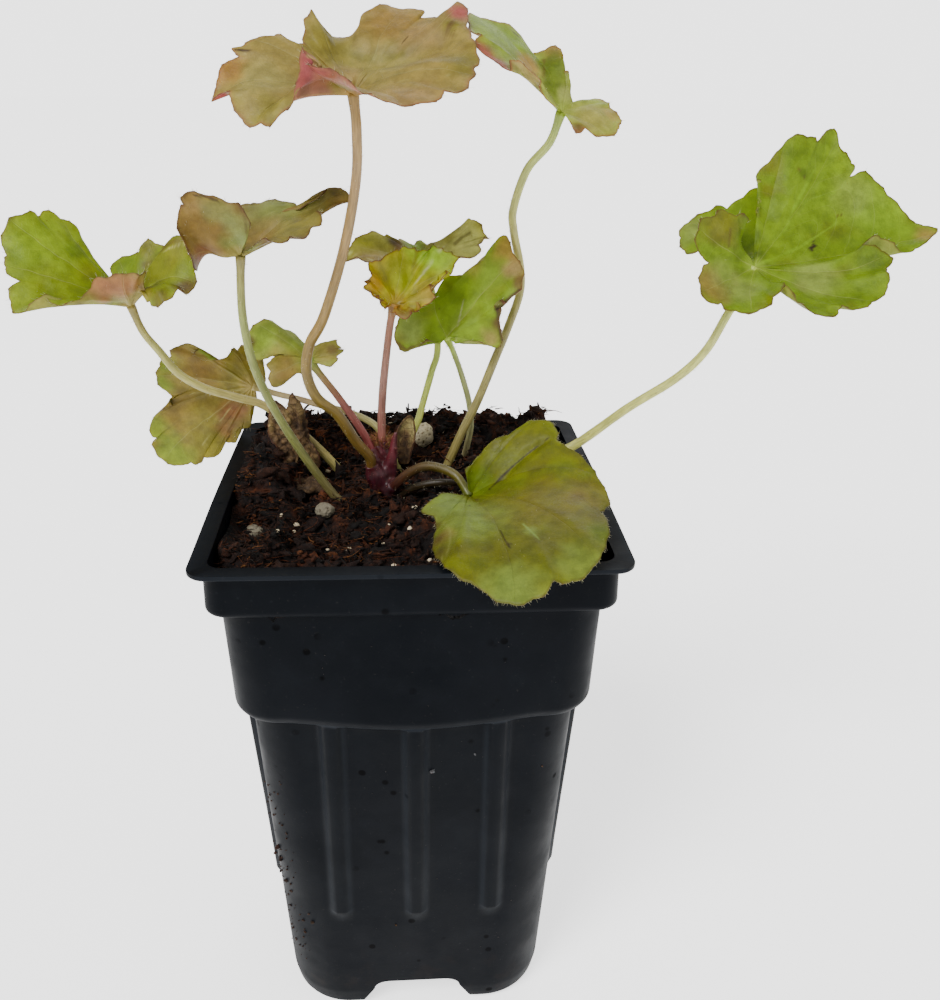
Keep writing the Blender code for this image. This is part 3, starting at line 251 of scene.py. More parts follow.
# Perlite grains: centre, half sizes
PERLITE = {
    "perlite_large": ((3.5, 27.5, 2.4), (2.6, 2.4, 3.0)),
    "perlite_front": ((-20.5, -3.0, -5.2), (2.2, 2.0, 1.6)),
    "perlite_left": ((-36.0, -11.0, -7.2), (2.4, 2.0, 1.8)),
}

# Loose matter on the peat: how many crumbs, tries at a flake or a fibre, and
# perlite bits, then the share of flakes, and how far out each lies
CRUMBS, SCRAPS, BITS = 1500, 6800, 46
FLAKE_SHARE = 0.2
CRUMB_REACH, SCRAP_REACH, BIT_REACH = 39.5, 40.3, 38
CORNER_START = 33       # the peat's corners are rounded from here outwards
FIBRE_REACH = 42.5      # no fibre runs further out than this

# Where fibres lie matted, in pixels, and how many more mats lie anywhere
PEAT_MATS = (
    (325, 432), (427, 420), (312, 514), (250, 470), (240, 520), (300, 545), (350, 560), (500, 412),
    (540, 418), (212, 470), (225, 450), (345, 425), (470, 415),
)
MORE_MATS = 26

# Specks that stick to the pot, as pixel, radius and colour, then how many are
# added at its left corner and how many smaller ones all over its front
POT_SPECKS = (
    ((262, 785), 0.8, (64, 40, 30)), ((265, 800), 0.6, (76, 46, 34)), ((279, 846), 0.9, (70, 42, 32)),
    ((281, 858), 0.8, (60, 38, 30)), ((276, 852), 0.5, (84, 52, 38)), ((287, 880), 0.5, (64, 44, 34)),
    ((542, 766), 0.3, (120, 88, 66)), ((396, 925), 0.35, (120, 92, 66)), ((432, 771), 0.6, (140, 143, 146)),
    ((475, 754), 0.35, (150, 152, 154)), ((291, 905), 0.4, (70, 48, 38)), ((313, 922), 0.5, (76, 60, 46)),
)
SPLASHES, DOTS = 90, 70

PEAT_DARK, PEAT_BLACK = (28, 15, 11), (13, 7, 5)
PERLITE_DETAIL = 5      # how often the ball that a grain is made from is divided

# The crown's axis, the points round a sheath, and its hairs at the lips and the sides
CROWN_AXIS = np.array((-6.5, 10.0))
SHEATH_SIDES = 24
CROWN_VOXEL = 0.32      # the sheaths are grown together in steps of this size
LIP_HAIRS, SIDE_HAIRS = 420, 260

# How a shown colour becomes a base colour under this scene's light
SATURATION = 1.17
EXPOSURE = 0.66

COLUMN_GAP = 0.55       # spacing of a leaf's points round its margin
RING_GAP = 0.8          # and from its seat outwards
STALK_SIDES = 16        # points round a stalk
HAIR_WIDTH, STALK_HAIR_WIDTH = 0.045, 0.07
HAIR_COLOUR = (226, 222, 186)

# Colours of the spots on the leaves
COLOURS = {
    "green": (128, 158, 48), "lime": (150, 182, 72), "pale": (184, 204, 124), "olive": (150, 146, 62),
    "bronze": (158, 124, 66), "orange": (172, 108, 46), "rose": (170, 74, 78), "brown": (112, 76, 42),
    "dark": (58, 38, 26), "cream": (214, 208, 150), "moss": (84, 108, 36), "sage": (166, 176, 112),
    "umber": (96, 66, 44), "khaki": (128, 122, 54), "straw": (176, 168, 104), "wall": (150, 74, 70),
    "tan": (172, 140, 92), "deep": (92, 112, 26),
}


class Look:
    """Colours and relief of one leaf."""

    def __init__(self, seed, slot, upper, second, under, under_second, vein, marks, **rest):
        self.seed, self.slot = seed, slot
        self.upper, self.second = upper, second
        self.under, self.under_second = under, under_second
        self.vein, self.marks = vein, marks
        self.vein_under = (176, 172, 112)
        self.vein_strength = 0.2
        self.mottle = 0.45
        self.rim, self.rim_width, self.rim_strength = (150, 104, 62), 1.3, 0.6
        self.tip = (96, 58, 40)
        self.tooth, self.tooth_pitch, self.point = 0.5, 4.8, 0.3
        self.deep = (108, 92, 44)
        self.thickness, self.pucker, self.wave = 0.42, 1.0, 1.0
        self.hairs, self.hair_length = 150, 1.0
        self.lines = self.folds = ""
        for key, value in rest.items():
            setattr(self, key, value)


# Leaf looks.  The marks, folds and lines are text, with a semicolon between two
# of them, and a place is the two numbers of its pixel.
# Mark: colour, place, radius, strength, and "up" if it is on the upper face only.
# Fold: height and width, then the places it runs through.
# Line: colour, width, strength, then the places it runs through.
# Some dark marks and lines lie in a fold's valley or a hollow as painted shade, and a pale line on a ridge is
# a painted highlight; a note by each such leaf says which.
LOOKS = {
    # In a, the khaki line along the valley fold and the umber marks at 322,87 and 306,92 in the hollow under
    # the pink wall are painted shade.
    "a": Look(1, "leaf_bronze", (158, 140, 80), (150, 126, 68), (166, 110, 80), (170, 104, 84),
              (168, 158, 100), rim=(150, 98, 70), rim_width=0.9, hairs=230, marks="""
        khaki 330,46 9 0.6 up; straw 380,66 13 0.4 up; straw 262,78 9 0.45 up;
        wall 306,64 4 0.95; wall 300,80 3.5 0.9; wall 320,68 3 0.8; umber 322,87 4.5 0.6;
        khaki 344,91 4 0.8; umber 306,92 2.5 0.5; orange 226,66 6 0.55; rose 217,96 3 0.8;
        khaki 268,112 7 0.6; rose 461,10 4 0.85; khaki 448,24 3 0.9; umber 452,22 1.6 0.7;
        khaki 468,60 6 0.6; bronze 392,20 10 0.7 up; tan 420,32 7 0.5 up; tan 390,96 9 0.45;
        tan 424,96 7 0.5; tan 345,72 5 0.5 up""", folds="""
        -1.6 4 340,52 372,58 404,52 438,40; 1.3 3.5 360,78 400,76 440,68; 1 2.5 306,60 338,68;
        0.8 3 452,26 470,44; -0.9 3 240,62 225,84; 0.7 4 256,84 270,110""", lines="""
        straw 0.3 0.6 240,79 270,77 296,78; straw 0.3 0.6 306,58 322,64 342,70;
        khaki 0.9 0.5 352,54 376,60 400,54; dark 0.25 0.9 235,48 247,50;
        dark 0.2 0.9 401,42 405,37; umber 0.4 0.5 455,18 446,30 450,36;
        straw 0.25 0.5 345,84 372,60 404,30; straw 0.25 0.4 350,86 400,80 446,74"""),
    "b": Look(2, "leaf_green", (156, 172, 92), (140, 152, 72), (156, 160, 100), (168, 140, 100),
              (186, 196, 120), rim=(150, 98, 70), rim_width=0.9, marks="""
        green 498,32 13 0.8; green 524,46 8 0.6; wall 486,50 4 0.8; wall 502,62 3.5 0.7;
        tan 530,62 5 0.85; bronze 553,52 4 0.8; deep 549,66 6 0.9; deep 556,88 5 0.85;
        sage 565,92 3 0.8; straw 596,116 7 0.6; umber 578,127 2.5 0.8; tan 612,112 3 0.5""", lines="""
        wall 0.9 0.7 472,38 488,52 508,68; umber 0.35 0.6 542,58 546,74 542,88;
        dark 0.3 0.8 514,30 520,35"""),
    "c": Look(3, "leaf_green", (134, 158, 50), (118, 144, 42), (160, 170, 92), (160, 150, 90),
              (186, 200, 104), rim=(112, 92, 48), rim_width=0.5, vein_strength=0.25, mottle=0.35,
              tooth=0.75, tooth_pitch=5.4, marks="""
        khaki 764,162 5 0.7 up; khaki 768,188 3 0.6 up; khaki 722,226 7 0.85;
        deep 745,240 5 0.95; deep 754,254 3 0.9; tan 712,284 7 0.75; sage 740,288 7 0.55;
        sage 722,272 5 0.4; lime 880,216 11 0.5 up; sage 852,196 8 0.35 up; tan 924,234 3.5 0.8;
        sage 815,276 8 0.6; deep 876,254 7 0.6; deep 868,290 6 0.4; sage 694,226 5 0.7;
        deep 795,150 7 0.35 up; deep 803,172 1.6 0.7 up; khaki 775,300 5 0.4""", folds="""
        -1.6 4.5 746,244; 1 3 735,232 730,252; 0.8 6 880,200; -0.8 3 775,175 768,215""", lines="""
        lime 0.35 0.7 752,266 785,225 797,205 815,170; lime 0.35 0.7 752,266 800,245 835,220;
        lime 0.3 0.6 797,204 835,190; dark 0.35 0.95 808,246 816,243;
        dark 0.2 0.9 812,240 814,249; umber 0.3 0.6 731,232 729,248;
        umber 0.3 0.6 800,170 806,180; umber 0.15 0.8 836,214 839,213;
        umber 0.15 0.8 793,262 795,263"""),
    "d": Look(4, "leaf_green", (148, 152, 62), (152, 138, 58), (150, 150, 84), (160, 140, 90),
              (140, 112, 52), rim=(170, 172, 96), rim_width=0.5, vein_strength=-0.18, hairs=420,
              hair_length=0.7, pucker=0.5, wave=0.5, marks="""
        pale 474,516 12 0.5 up; pale 450,500 8 0.6 up; sage 436,510 5 0.6 up;
        bronze 548,500 16 0.45 up; khaki 580,530 12 0.5 up; olive 520,450 12 0.5 up;
        khaki 520,545 14 0.5 up; pale 510,590 10 0.55 up; pale 586,566 9 0.4 up;
        tan 444,534 3.5 0.6 up; umber 435,526 2.6 0.7 up; umber 435,540 3 0.7 up;
        umber 437,553 2.8 0.6 up; green 600,530 4 0.4 up; pale 532,530 2.5 0.4 up;
        bronze 592,490 8 0.35 up; green 478,480 6 0.5 up""", folds="""
        -0.8 1.2 478,498 508,467 540,442; 0.3 2.5 446,530 441,552""", lines="""
        dark 0.2 0.9 470,504 488,488 508,467 530,449 545,439;
        dark 0.32 0.7 478,498 500,476 512,464; dark 0.18 0.85 499,529 504,537 511,546;
        dark 0.12 0.6 507,544 514,542; pale 0.22 0.7 524,523 531,529 539,536;
        cream 0.25 0.3 431,517 442,521 448,530 448,541 444,552 438,560"""),
    "e": Look(5, "leaf_green", (140, 158, 56), (128, 146, 48), (150, 156, 84), (170, 140, 96),
              (180, 190, 104), rim=(120, 98, 52), rim_width=0.6, hairs=280, marks="""
        lime 45,240 10 0.4; moss 20,262 6 0.35; tan 108,284 6 0.8; wall 100,292 5 0.5;
        tan 126,292 7 0.85; wall 118,286 6 0.45; khaki 158,268 9 0.55; umber 156,298 3.5 0.6;
        khaki 146,248 4 0.7; olive 176,252 5 0.5; umber 189,286 4 0.85; green 125,266 5 0.5;
        moss 78,250 3 0.6; khaki 90,270 3 0.4""", lines="""
        umber 0.8 0.55 141,288 144,262 166,243 184,236; khaki 0.25 0.6 40,240 95,279;
        cream 0.22 0.7 144,288 147,263 169,246 186,240"""),
    "f": Look(6, "leaf_bronze", (154, 140, 78), (150, 126, 70), (156, 128, 76), (150, 116, 70),
              (170, 158, 100), rim=(120, 76, 50), rim_width=0.7, hairs=200, marks="""
        bronze 206,220 9 0.5; tan 212,262 7 0.6; wall 203,256 4 0.5; bronze 188,228 5 0.5;
        sage 242,244 5 0.95; sage 240,226 5 0.6; tan 196,204 4 0.7; sage 216,214 5 0.5;
        sage 278,207 10 0.8 up; straw 290,226 8 0.5; tan 262,232 7 0.6; umber 262,241 3 0.5;
        straw 312,210 6 0.6; dark 334,192 2.6 0.7; tan 338,202 4 0.7; umber 300,236 3 0.6""", folds="""
        -0.8 1.2 190,197 204,199 222,204; 1 3 216,236 224,262; -0.9 2.5 300,222 318,202;
        0.9 3 270,218 296,222""", lines="""
        dark 0.3 0.8 192,197 204,199 218,203; cream 0.25 0.5 308,204 320,198;
        umber 0.3 0.4 240,208 246,222 246,236"""),
    "g": Look(7, "leaf_bronze", (164, 152, 78), (152, 140, 64), (160, 148, 76), (152, 128, 66),
              (190, 190, 116), rim=(146, 132, 62), rim_width=0.8, hairs=180, marks="""
        lime 166,364 6 0.7; bronze 190,366 8 0.6; lime 156,428 6 0.6; wall 232,414 6 0.6;
        rose 224,430 4 0.35; tan 176,412 7 0.4; lime 174,458 9 0.65; olive 206,446 7 0.5;
        umber 234,434 4 0.4; brown 178,350 3 0.5; bronze 210,376 7 0.5; olive 240,440 3 0.5;
        lime 158,392 5 0.7""", folds="""
        -1.1 3 172,402 200,398 230,392; 0.9 4 190,378 220,384; 0.9 4 190,430 214,412""", lines="""
        cream 0.2 0.5 250,392 222,394 190,396; cream 0.2 0.5 250,392 226,412 204,446;
        lime 0.4 0.7 200,352 212,361 232,355"""),
    "h": Look(8, "leaf_green", (158, 172, 80), (146, 154, 68), (156, 156, 84), (160, 136, 80),
              (190, 200, 120), rim=(112, 84, 46), rim_width=0.6, hairs=110, tooth_pitch=2.8, marks="""
        lime 262,334 5 0.5; bronze 286,366 7 0.7; umber 282,380 3.5 0.4; umber 252,342 2.2 0.8;
        bronze 324,350 5 0.5; umber 334,346 2 0.6; green 300,346 4 0.4; khaki 272,362 4 0.6""", folds="""
        -1.2 2 251,342; 0.8 3 280,340 296,350"""),
    # In i, the khaki lines along the pleats' valleys are painted shade and the cream line along a ridge is a
    # painted highlight.
    "i": Look(9, "leaf_yellow", (176, 168, 60), (168, 146, 48), (170, 146, 60), (160, 120, 56),
              (206, 200, 110), rim=(120, 74, 40), rim_width=0.5, rim_strength=0.7,
              tip=(90, 40, 32), tooth=0.6, tooth_pitch=2.6, point=0.5, thickness=0.4, marks="""
        orange 378,284 4 0.5; bronze 384,274 5 0.5; umber 394,308 4 0.7; lime 440,258 8 0.8;
        lime 420,252 6 0.6; bronze 424,292 6 0.6; khaki 412,300 5 0.6; orange 398,300 3 0.3;
        lime 404,272 7 0.35; umber 406,314 2.5 0.6; olive 402,262 4 0.5""", folds="""
        -0.8 1.3 402,298 411,268 414,250; 0.8 1.3 400,296 400,268 396,252;
        -0.8 1.3 398,298 386,272 377,264; 0.8 1.2 396,298 378,282 370,276;
        0.8 1.4 404,298 426,266 434,248; -0.8 1.3 406,298 434,276 446,268;
        1 1.3 408,300 428,292; -1 1.2 402,304 414,306""", lines="""
        khaki 0.5 0.6 402,298 411,268 414,252; khaki 0.5 0.6 398,298 386,272 378,264;
        khaki 0.5 0.6 406,298 432,277 444,270; cream 0.2 0.6 400,302 426,266 438,250"""),
    "j": Look(10, "leaf_bronze", (142, 132, 70), (138, 130, 62), (160, 134, 92), (156, 130, 80),
              (160, 150, 90), rim=(84, 54, 38), rim_width=0.6, rim_strength=0.8, hairs=100, marks="""
        tan 372,254 6 0.6; khaki 366,240 6 0.7; umber 402,245 3.5 0.85; dark 394,240 2.2 0.8;
        straw 466,240 7 0.8; green 416,244 4 0.6; straw 440,250 5 0.6; umber 482,240 1.4 0.6""", lines="""
        dark 0.5 0.6 455,241 461,235 468,232; cream 0.25 0.5 352,252 372,258"""),
    # In k, the dark lines along the midrib's valley folds are painted shade.
    "k": Look(11, "leaf_green", (128, 156, 62), (118, 144, 54), (140, 152, 80), (150, 150, 84),
              (180, 194, 104), rim=(110, 98, 50), rim_width=0.5, vein_strength=0.35, hairs=110,
              tooth=0.2, tooth_pitch=4.4, marks="""
        green 460,300 12 0.4; tan 514,268 4.5 0.7; bronze 506,248 5 0.7; sage 410,330 6 0.3;
        umber 518,282 3 0.8; umber 500,326 2 0.8; tan 490,342 3 0.5; moss 446,300 6 0.3;
        bronze 470,268 4 0.3; khaki 402,340 3 0.4""", folds="""
        -0.6 1.4 499,312 501,340; -0.6 1.4 520,290 500,304""", lines="""
        dark 0.6 0.9 522,289 508,301 497,309; dark 0.8 0.9 499,312 500,328 502,343;
        sage 0.16 0.8 452,345 456,320 461,300; umber 0.3 0.7 398,343 408,351 426,343"""),
}

# Colours along each stalk: a share of its length, from its foot, and the colour there
STALK_LOOKS = {
    "a": ((0, (128, 60, 58)), (0.07, (128, 100, 56)), (0.3, (140, 118, 62)), (0.5, (172, 142, 92)),
          (0.85, (184, 152, 112)), (1, (178, 146, 92))),
    "b": ((0, (124, 110, 66)), (0.15, (142, 132, 82)), (0.45, (172, 164, 106)), (0.7, (192, 188, 118)),
          (0.93, (176, 188, 110)), (1, (140, 160, 66))),
    "c": ((0, (176, 176, 104)), (0.4, (206, 206, 138)), (0.8, (208, 210, 146)), (1, (178, 194, 104))),
    "d": ((0, (112, 40, 44)), (0.25, (110, 62, 44)), (0.55, (128, 112, 56)), (0.85, (150, 150, 62)),
          (1, (140, 166, 58))),
    "e": ((0, (196, 190, 128)), (0.3, (204, 188, 142)), (0.6, (196, 186, 124)), (0.85, (186, 184, 120)),
          (1, (176, 160, 104))),
    "f": ((0, (114, 100, 64)), (0.15, (132, 124, 82)), (0.4, (146, 152, 92)), (0.8, (166, 176, 104)),
          (1, (168, 158, 96))),
    "g": ((0, (190, 190, 120)), (0.4, (196, 184, 122)), (0.75, (206, 178, 132)), (1, (188, 168, 104))),
    "h": ((0, (142, 40, 58)), (0.25, (158, 70, 66)), (0.6, (164, 88, 76)), (0.85, (160, 116, 72)),
          (1, (150, 150, 72))),
    "i": ((0, (160, 72, 84)), (0.2, (176, 112, 104)), (0.5, (178, 126, 116)), (0.9, (170, 112, 92)),
          (1, (176, 128, 62))),
    "j": ((0, (160, 152, 90)), (0.15, (178, 178, 96)), (0.5, (172, 186, 92)), (1, (150, 158, 72))),
    "k": ((0, (124, 116, 78)), (0.3, (126, 134, 82)), (0.8, (124, 140, 78)), (1, (132, 160, 70))),
    "stub": ((0, (96, 70, 48)), (0.3, (104, 96, 52)), (0.8, (120, 112, 58)), (1, (128, 118, 66))),
}
STALK_SLOTS = {
    "a": "stalk_tan", "b": "stalk_green", "c": "stalk_green", "d": "stalk_tan", "e": "stalk_green",
    "f": "stalk_green", "g": "stalk_green", "h": "stalk_red", "i": "stalk_red", "j": "stalk_green",
    "k": "stalk_green", "stub": "stalk_tan",
}
# How much a stalk's top widens, where it isn't as usual
STALK_FLARE = {"a": 0.2, "b": 0.3, "c": 0.1, "d": 0.1, "e": 0.25, "f": 0.25}

# How much lighter or darker than its colours each leaf and stalk is, in red, green and blue: partly its own
# tone, partly painted light and shade for how it faces the light, and for the short stalk painted shade low
# in the pot
TONE_AND_PAINTED_LIGHT_GAINS = {
    "a": (0.97, 0.99, 1.14), "b": (1.09, 1.0, 0.88), "c": (0.8, 0.83, 0.62), "d": (0.53, 0.6, 0.44),
    "e": (0.93, 0.92, 0.78), "f": (0.68, 0.71, 0.6), "g": (0.76, 0.75, 0.52), "h": (1.15, 1.12, 2.2),
    "i": (1.12, 1.18, 1.7), "j": (1.65, 1.95, 2.3), "k": (1.26, 1.15, 1.7),
}
STALK_TONE_AND_PAINTED_LIGHT_GAINS = {
    "a": (0.85, 0.87, 0.78), "b": (1.12, 1.12, 1.2), "c": (1.1, 1.1, 0.82), "d": (0.45, 0.38, 0.66),
    "e": (0.98, 0.97, 0.78), "f": (0.88, 0.86, 0.87), "g": (1.12, 1.2, 1.4), "h": (0.85, 1.25, 1.35),
    "i": (0.85, 1.0, 0.92), "j": (1.8, 1.8, 2.9), "k": (2.5, 2.1, 3.8), "stub": (0.2, 0.15, 0.24),
}


# The margins as the photograph shows them: a pixel for each point, "S" where the
# margin turns sharply.  "@" ties a point to one of the margin above, whose depth
# it has (with a step in millimetres), and points between two ties share it out.
TRACES = {
    "a": """
        E334,60@0+3 L318,46@0+3 L303,44@0+1 L292,43 L286,38@1 L279,34 L268,36@2 L253,39 L243,46 L231,48@3
        S239,55@4 L229,59 L220,68 L216,79@5 L215,88 L211,101@6 L220,95 S230,91@7 L229,97 L234,107@8
        L243,123 L253,127@9 S260,125 L268,127 L275,123@10 L285,112 L292,105@11 L294,92 L298,80@12 L300,64
        S303,47@13 L307,59 L318,66 L340,70@14 L353,84 L363,93@15 S372,93 L380,99 L393,103@16 L402,106
        L418,104 L432,102@17 L443,97 S444,90@18 L456,93 L465,90@19 L474,76 S474,70 L479,65@20 L477,52
        L472,38 S467,29@21 L468,13@22 L460,2 L453,6@23 S441,19@24 L432,18 S421,18 L424,11@25 L414,9
        L400,9@26 L386,5 L375,7@27 L362,15 L360,24 L352,35@28 L340,38 S327,35@29 L320,25 L312,9@30 S309,16
        L303,20 S306,31@31 L302,40 E304,46@32""",
    "b": """
        E571,122@0 L574,130 L580,133 S586,129 L595,136@1 L603,137 L613,135@2 L619,130 S619,124@3
        L622,120@4 L616,113 S610,108 L610,103 L606,102@5 L595,99@6 L585,102 L574,108@7 S570,96@8 L568,84
        L569,72@9 S562,71 L561,60@10 L563,54 S561,49@11 L553,46 L546,48@12 L538,52 S531,54@13 L526,43
        L519,33@14 L508,24 L497,21@15 L480,17 L468,14@16 L470,31@17 S482,35 L474,41@18 L484,54 L497,62@19
        L510,71@20 S510,60 L519,60@21 L528,69 L540,79@22 L540,88 L544,97@23 E554,106@24""",
    "c": """
        E778,192@0+4 L760,186 L746,194 S727,208 L719,206@1 L705,212 L690,220 L683,226@2 L679,236
        L681,246@3 L686,254 S697,252 S720,240@4 L745,224 L748,218 L739,214@5 S735,216 L728,211 L720,210
        S715,216 L710,216@6 L703,219 S700,223 L697,233@7 L696,242 L699,254@8 L704,260 S709,263@9 L702,268
        L699,280@10 L700,288 L706,300@11 L716,305 S721,303@12 L727,310@13 L742,313 L758,311@14 L770,304
        S773,297 L780,293@15 S785,283@16 L791,291 L797,302@17 S802,304 L810,312 L826,317@18 L838,314
        S842,305@19 L852,310 L864,308@20 L874,302 L883,295@21 L890,282 S886,272@22 L892,262@23 L887,254
        L879,248@24 S863,244@25 L873,237 L880,236@26 L892,243 S896,247 L906,253@27 L917,249 L925,243@28
        L937,232@29 L928,226 L912,222@30 L903,211 L883,193@31 L874,180 L862,172 S850,177@32 L855,166
        L848,156 L841,148@33 L834,128@34 L824,134 S817,142@35 L812,137 L800,135@36 L787,140 L778,151@37
        L768,162 L756,175@38 S761,180 E762,192@39""",
    "d": """
        E469,499@0 L456,494 L441,494@1 L429,503 L421,511@2 L434,518 S437,525@3 L434,541 L434,553@4
        L441,562 L450,571@5 L463,580 S480,588@6 L489,596 L500,602@7 L516,605@8 L531,601 L545,594@9
        S554,581@10 L564,583 L577,581@11 L590,572 L600,558@12 L606,545 L609,529@13 L605,517 S600,512@14
        L608,507 L609,498@15 L602,484 L592,468@16 L577,453 L563,445@17 S557,439@18 L557,431 L552,423@19
        L539,420 L529,421@20 L521,428 S518,434 L505,436@21 L494,440 L489,448 L480,455@22 L474,462
        E465,470@23""",
    "e": """
        E166,258@0 L163,247 L160,245@1 L151,240 L146,241@2 L140,246 S139,253@3 L132,255 L125,257@4
        L116,261 L112,266@5 L111,271 S112,275@6 L104,279 L96,277@7 L88,266 L83,254@8 L79,245 S78,239
        L80,234 L77,227 L70,222@9 L60,217 L52,212@10 L43,211 S38,216@11 L33,212 L22,214@12 L10,219
        L3,233@13 L2,246 S7,256@14 L4,265@15 L8,274 S19,281@16 L11,287 L9,297@17 L11,307 L15,313@18
        L24,312 L31,304@19 L38,298 S47,294@20 L49,301 L55,305@21 L64,305 L70,302@22 L80,299 S88,291@23
        L97,277@24 L107,278 L119,274@25 L133,273 L139,276@26 S146,271@27 L144,280 L145,292@28 L147,302
        S151,302 L152,306@29 L158,306 L162,304@30 L172,297 S180,287@31 L183,293 L188,294 L194,289 L196,278
        L195,266@32 L190,254 L184,240@33 L179,235 L170,240 E164,246@34""",
    "f": """
        E250,250@0 L256,244 L263,239@1 L271,242 L281,243@2 L288,240 S290,236 L300,238@3 L308,235
        L313,227@4 L319,226 L323,218 S316,211@5 L323,213 L333,208@6 L343,204 L351,201@7 L349,193
        L341,189@8 L333,187 L326,189@9 L317,196 L309,201 S299,210@10 L296,205@11 L284,201 L268,200@12
        S260,203 L250,204 L240,205@13 L207,221@14 L190,244@15 L197,272@16 L187,248@17 L179,232 L177,219@18
        L180,209 S184,205 L180,197@19 L187,193 L197,195 L213,199@20 L228,203 L240,206@21 L250,225@22
        E245,246@23""",
    "g": """
        E256,394@0 L254,404 L250,412@1 L252,418 L250,426@2 S236,432@3 L236,442 L229,443@4 S225,441
        L222,450 L216,456@5 L207,458@6 S200,453@7 L203,457 L202,462 L196,465 S191,462@8 L184,465
        L175,466@9 L166,462 L158,456@10 L153,447@11 L153,442 S157,439@12 L152,436 L150,427@13 L153,418
        L160,411@14 L168,406 S175,400@15 L167,393 L160,386@16 L156,377 L158,368@17 L161,361 S170,357@18
        L171,351@19 L178,346 L189,344@20 L198,348@21 L195,353 L198,357 L204,360@22 L215,360 L224,358@23
        L230,353 L234,348@24 S236,351 L242,346 L250,345 L262,357@25 S264,367 L266,376 E265,382@26""",
    "h": """
        E315,363@0 S321,362 L325,366 L331,366@1 L337,361 S336,357@2 L343,351@3 L338,349 S335,348@4
        L341,348 L337,343 L335,340@5 L330,342 L323,343@6 S312,349@7 L301,347@8 L293,340 L289,332@9
        L282,330 S275,329@10 L272,321@11 L265,320 L258,322@12 L254,326 L248,332@13 L247,346 L252,359
        L261,360@14 L266,356 L271,350@15 L277,351 S280,355@16 L272,360 L267,365@17 S270,372 L269,378@18
        L271,386 L281,386@19 L290,379 L296,374@20 E302,373@21""",
    "i": """
        E398,306@0 L391,314 S395,312 L400,318 L409,318@1 S410,309@2 L414,311 S418,306 L421,306 L430,304@3
        L433,300 L435,294@4 S431,287@5 L441,281 L442,277@6 L446,272 L451,272 L452,266 L458,258@7 L450,253
        S441,250@8 L433,246@9 S427,250@10 L419,250 L411,248@11 L403,247@12 S398,251@13 L390,252
        L384,257@14 S379,261 L370,262@15 L368,270 S369,276@16 L364,282 S369,281 L364,288@17 S372,292@18
        L373,296 L379,295 L380,299@19 S384,299 L381,304 L385,309 E388,305@20""",
    "j": """
        E442,259@0 L452,257@1 L463,257 L470,258@2 L479,254 L481,249 S477,245@3 L483,242 L485,237 L488,239
        L485,233@4 L479,223 L470,218@5 L465,222 L460,229@6 L450,237 L440,241 S427,245@7 L420,240@8
        S414,245@9 L408,243 L400,239@10 S395,242@11 L388,235 S382,238 L376,232@12 L368,233 L361,236@13
        L353,242 L350,246@14 L346,261@15 S356,257@16 L364,261 L373,262@17 L386,258@18 E404,262@19""",
    "k": """
        E456,344@0 L467,341 L475,341@1 L486,344 L497,348@2 S503,341 L500,331@3 L499,318 L500,310
        S494,307@4 L503,303 L511,296 L520,288@5 L523,278 L524,270@6 L518,260 L513,252@7 L510,243
        L506,235@8 L499,238 S494,248@9 L488,257 L474,266@10 L462,275 L446,277@11 L434,295@12 L416,306
        L400,316@13 L397,325 L394,336@14 L396,343 L404,352@15 L413,349 L421,344 L428,340@16 E440,344@17""",
}

# Light: the strength of the sky that lights the scene and of the one behind it,
# then soft suns with the side each shines from, its spread in degrees and its strength
SKY_LIGHT = 0.4
BACKDROP = 2.92
FLOOR_GLOW = 1.5        # how much the floor shines
FLOOR_HALF = 6          # metres
FLOOR_DROP = 0.0002     # the floor lies this far under the pot, in metres
SUNS = (
    ("key", (-0.5, -0.62, 0.85), 26.0, 3.7),
    ("fill", (0.9, -0.35, 0.5), 50.0, 0.6),
    ("back", (0.25, 0.8, 0.6), 40.0, 0.9),
)


def smooth(x):
    """An even ramp from 0 to 1."""
    x = np.clip(x, 0.0, 1.0)
    return x * x * (3 - 2 * x)


def unit(rows):
    """Rows scaled to length one."""
    return rows / np.maximum(np.linalg.norm(rows, axis=-1, keepdims=True), 1e-9)


def run_along(points):
    """How far each point of a line is from its start, along the line."""
    return np.concatenate([[0], np.cumsum(np.linalg.norm(np.diff(points, axis=0), axis=1))])


def entries(text):
    """The entries of a text table, each as its words, its numbers and its places."""
    for entry in text.split(";") if text else ():
        words, numbers, places = [], [], []
        for word in entry.split():
            if word.isalpha():
                words.append(word)
            elif "," in word:
                places.append([float(number) for number in word.split(",")])
            else:
                numbers.append(float(word))
        yield words, numbers, places


def linear(colour):
    """A colour given as 0-255 display values, as the linear base colour that renders like it."""
    shown = np.array(colour, float) / 255
    value = np.where(shown <= 0.04045, shown / 12.92, ((shown + 0.055) / 1.055) ** 2.4)
    grey = value @ (0.2126, 0.7152, 0.0722)
    return np.clip(grey + (value - grey) * SATURATION, 0.0, 1.0) * EXPOSURE


def noise_at(points, size, seed=0.0):
    """Smooth noise from -1 to 1 at each point, with lumps of about the given size."""
    shifted = np.asarray(points) / size + seed
    return np.array([noise.noise(Vector(p)) for p in shifted])


def project(points):
    """Photograph pixels and depth of points."""
    away = np.asarray(points) - EYE
    depth = away @ FORWARD
    across = FRAME_PX[0] / 2 + FOCAL_PX * (away @ RIGHT) / depth
    down = FRAME_PX[1] / 2 - FOCAL_PX * (away @ UPWARD) / depth
    return np.stack([across, down], axis=-1), depth


def ray(pixel):
    """The direction in which a pixel of the photograph is seen."""
    across = (pixel[0] - FRAME_PX[0] / 2) / FOCAL_PX
    down = (pixel[1] - FRAME_PX[1] / 2) / FOCAL_PX
    return unit(FORWARD + across * RIGHT - down * UPWARD)


def placed(name, data):
    """A new object in the scene."""
    obj = bpy.data.objects.new(name, data)
    bpy.context.scene.collection.objects.link(obj)
    return obj


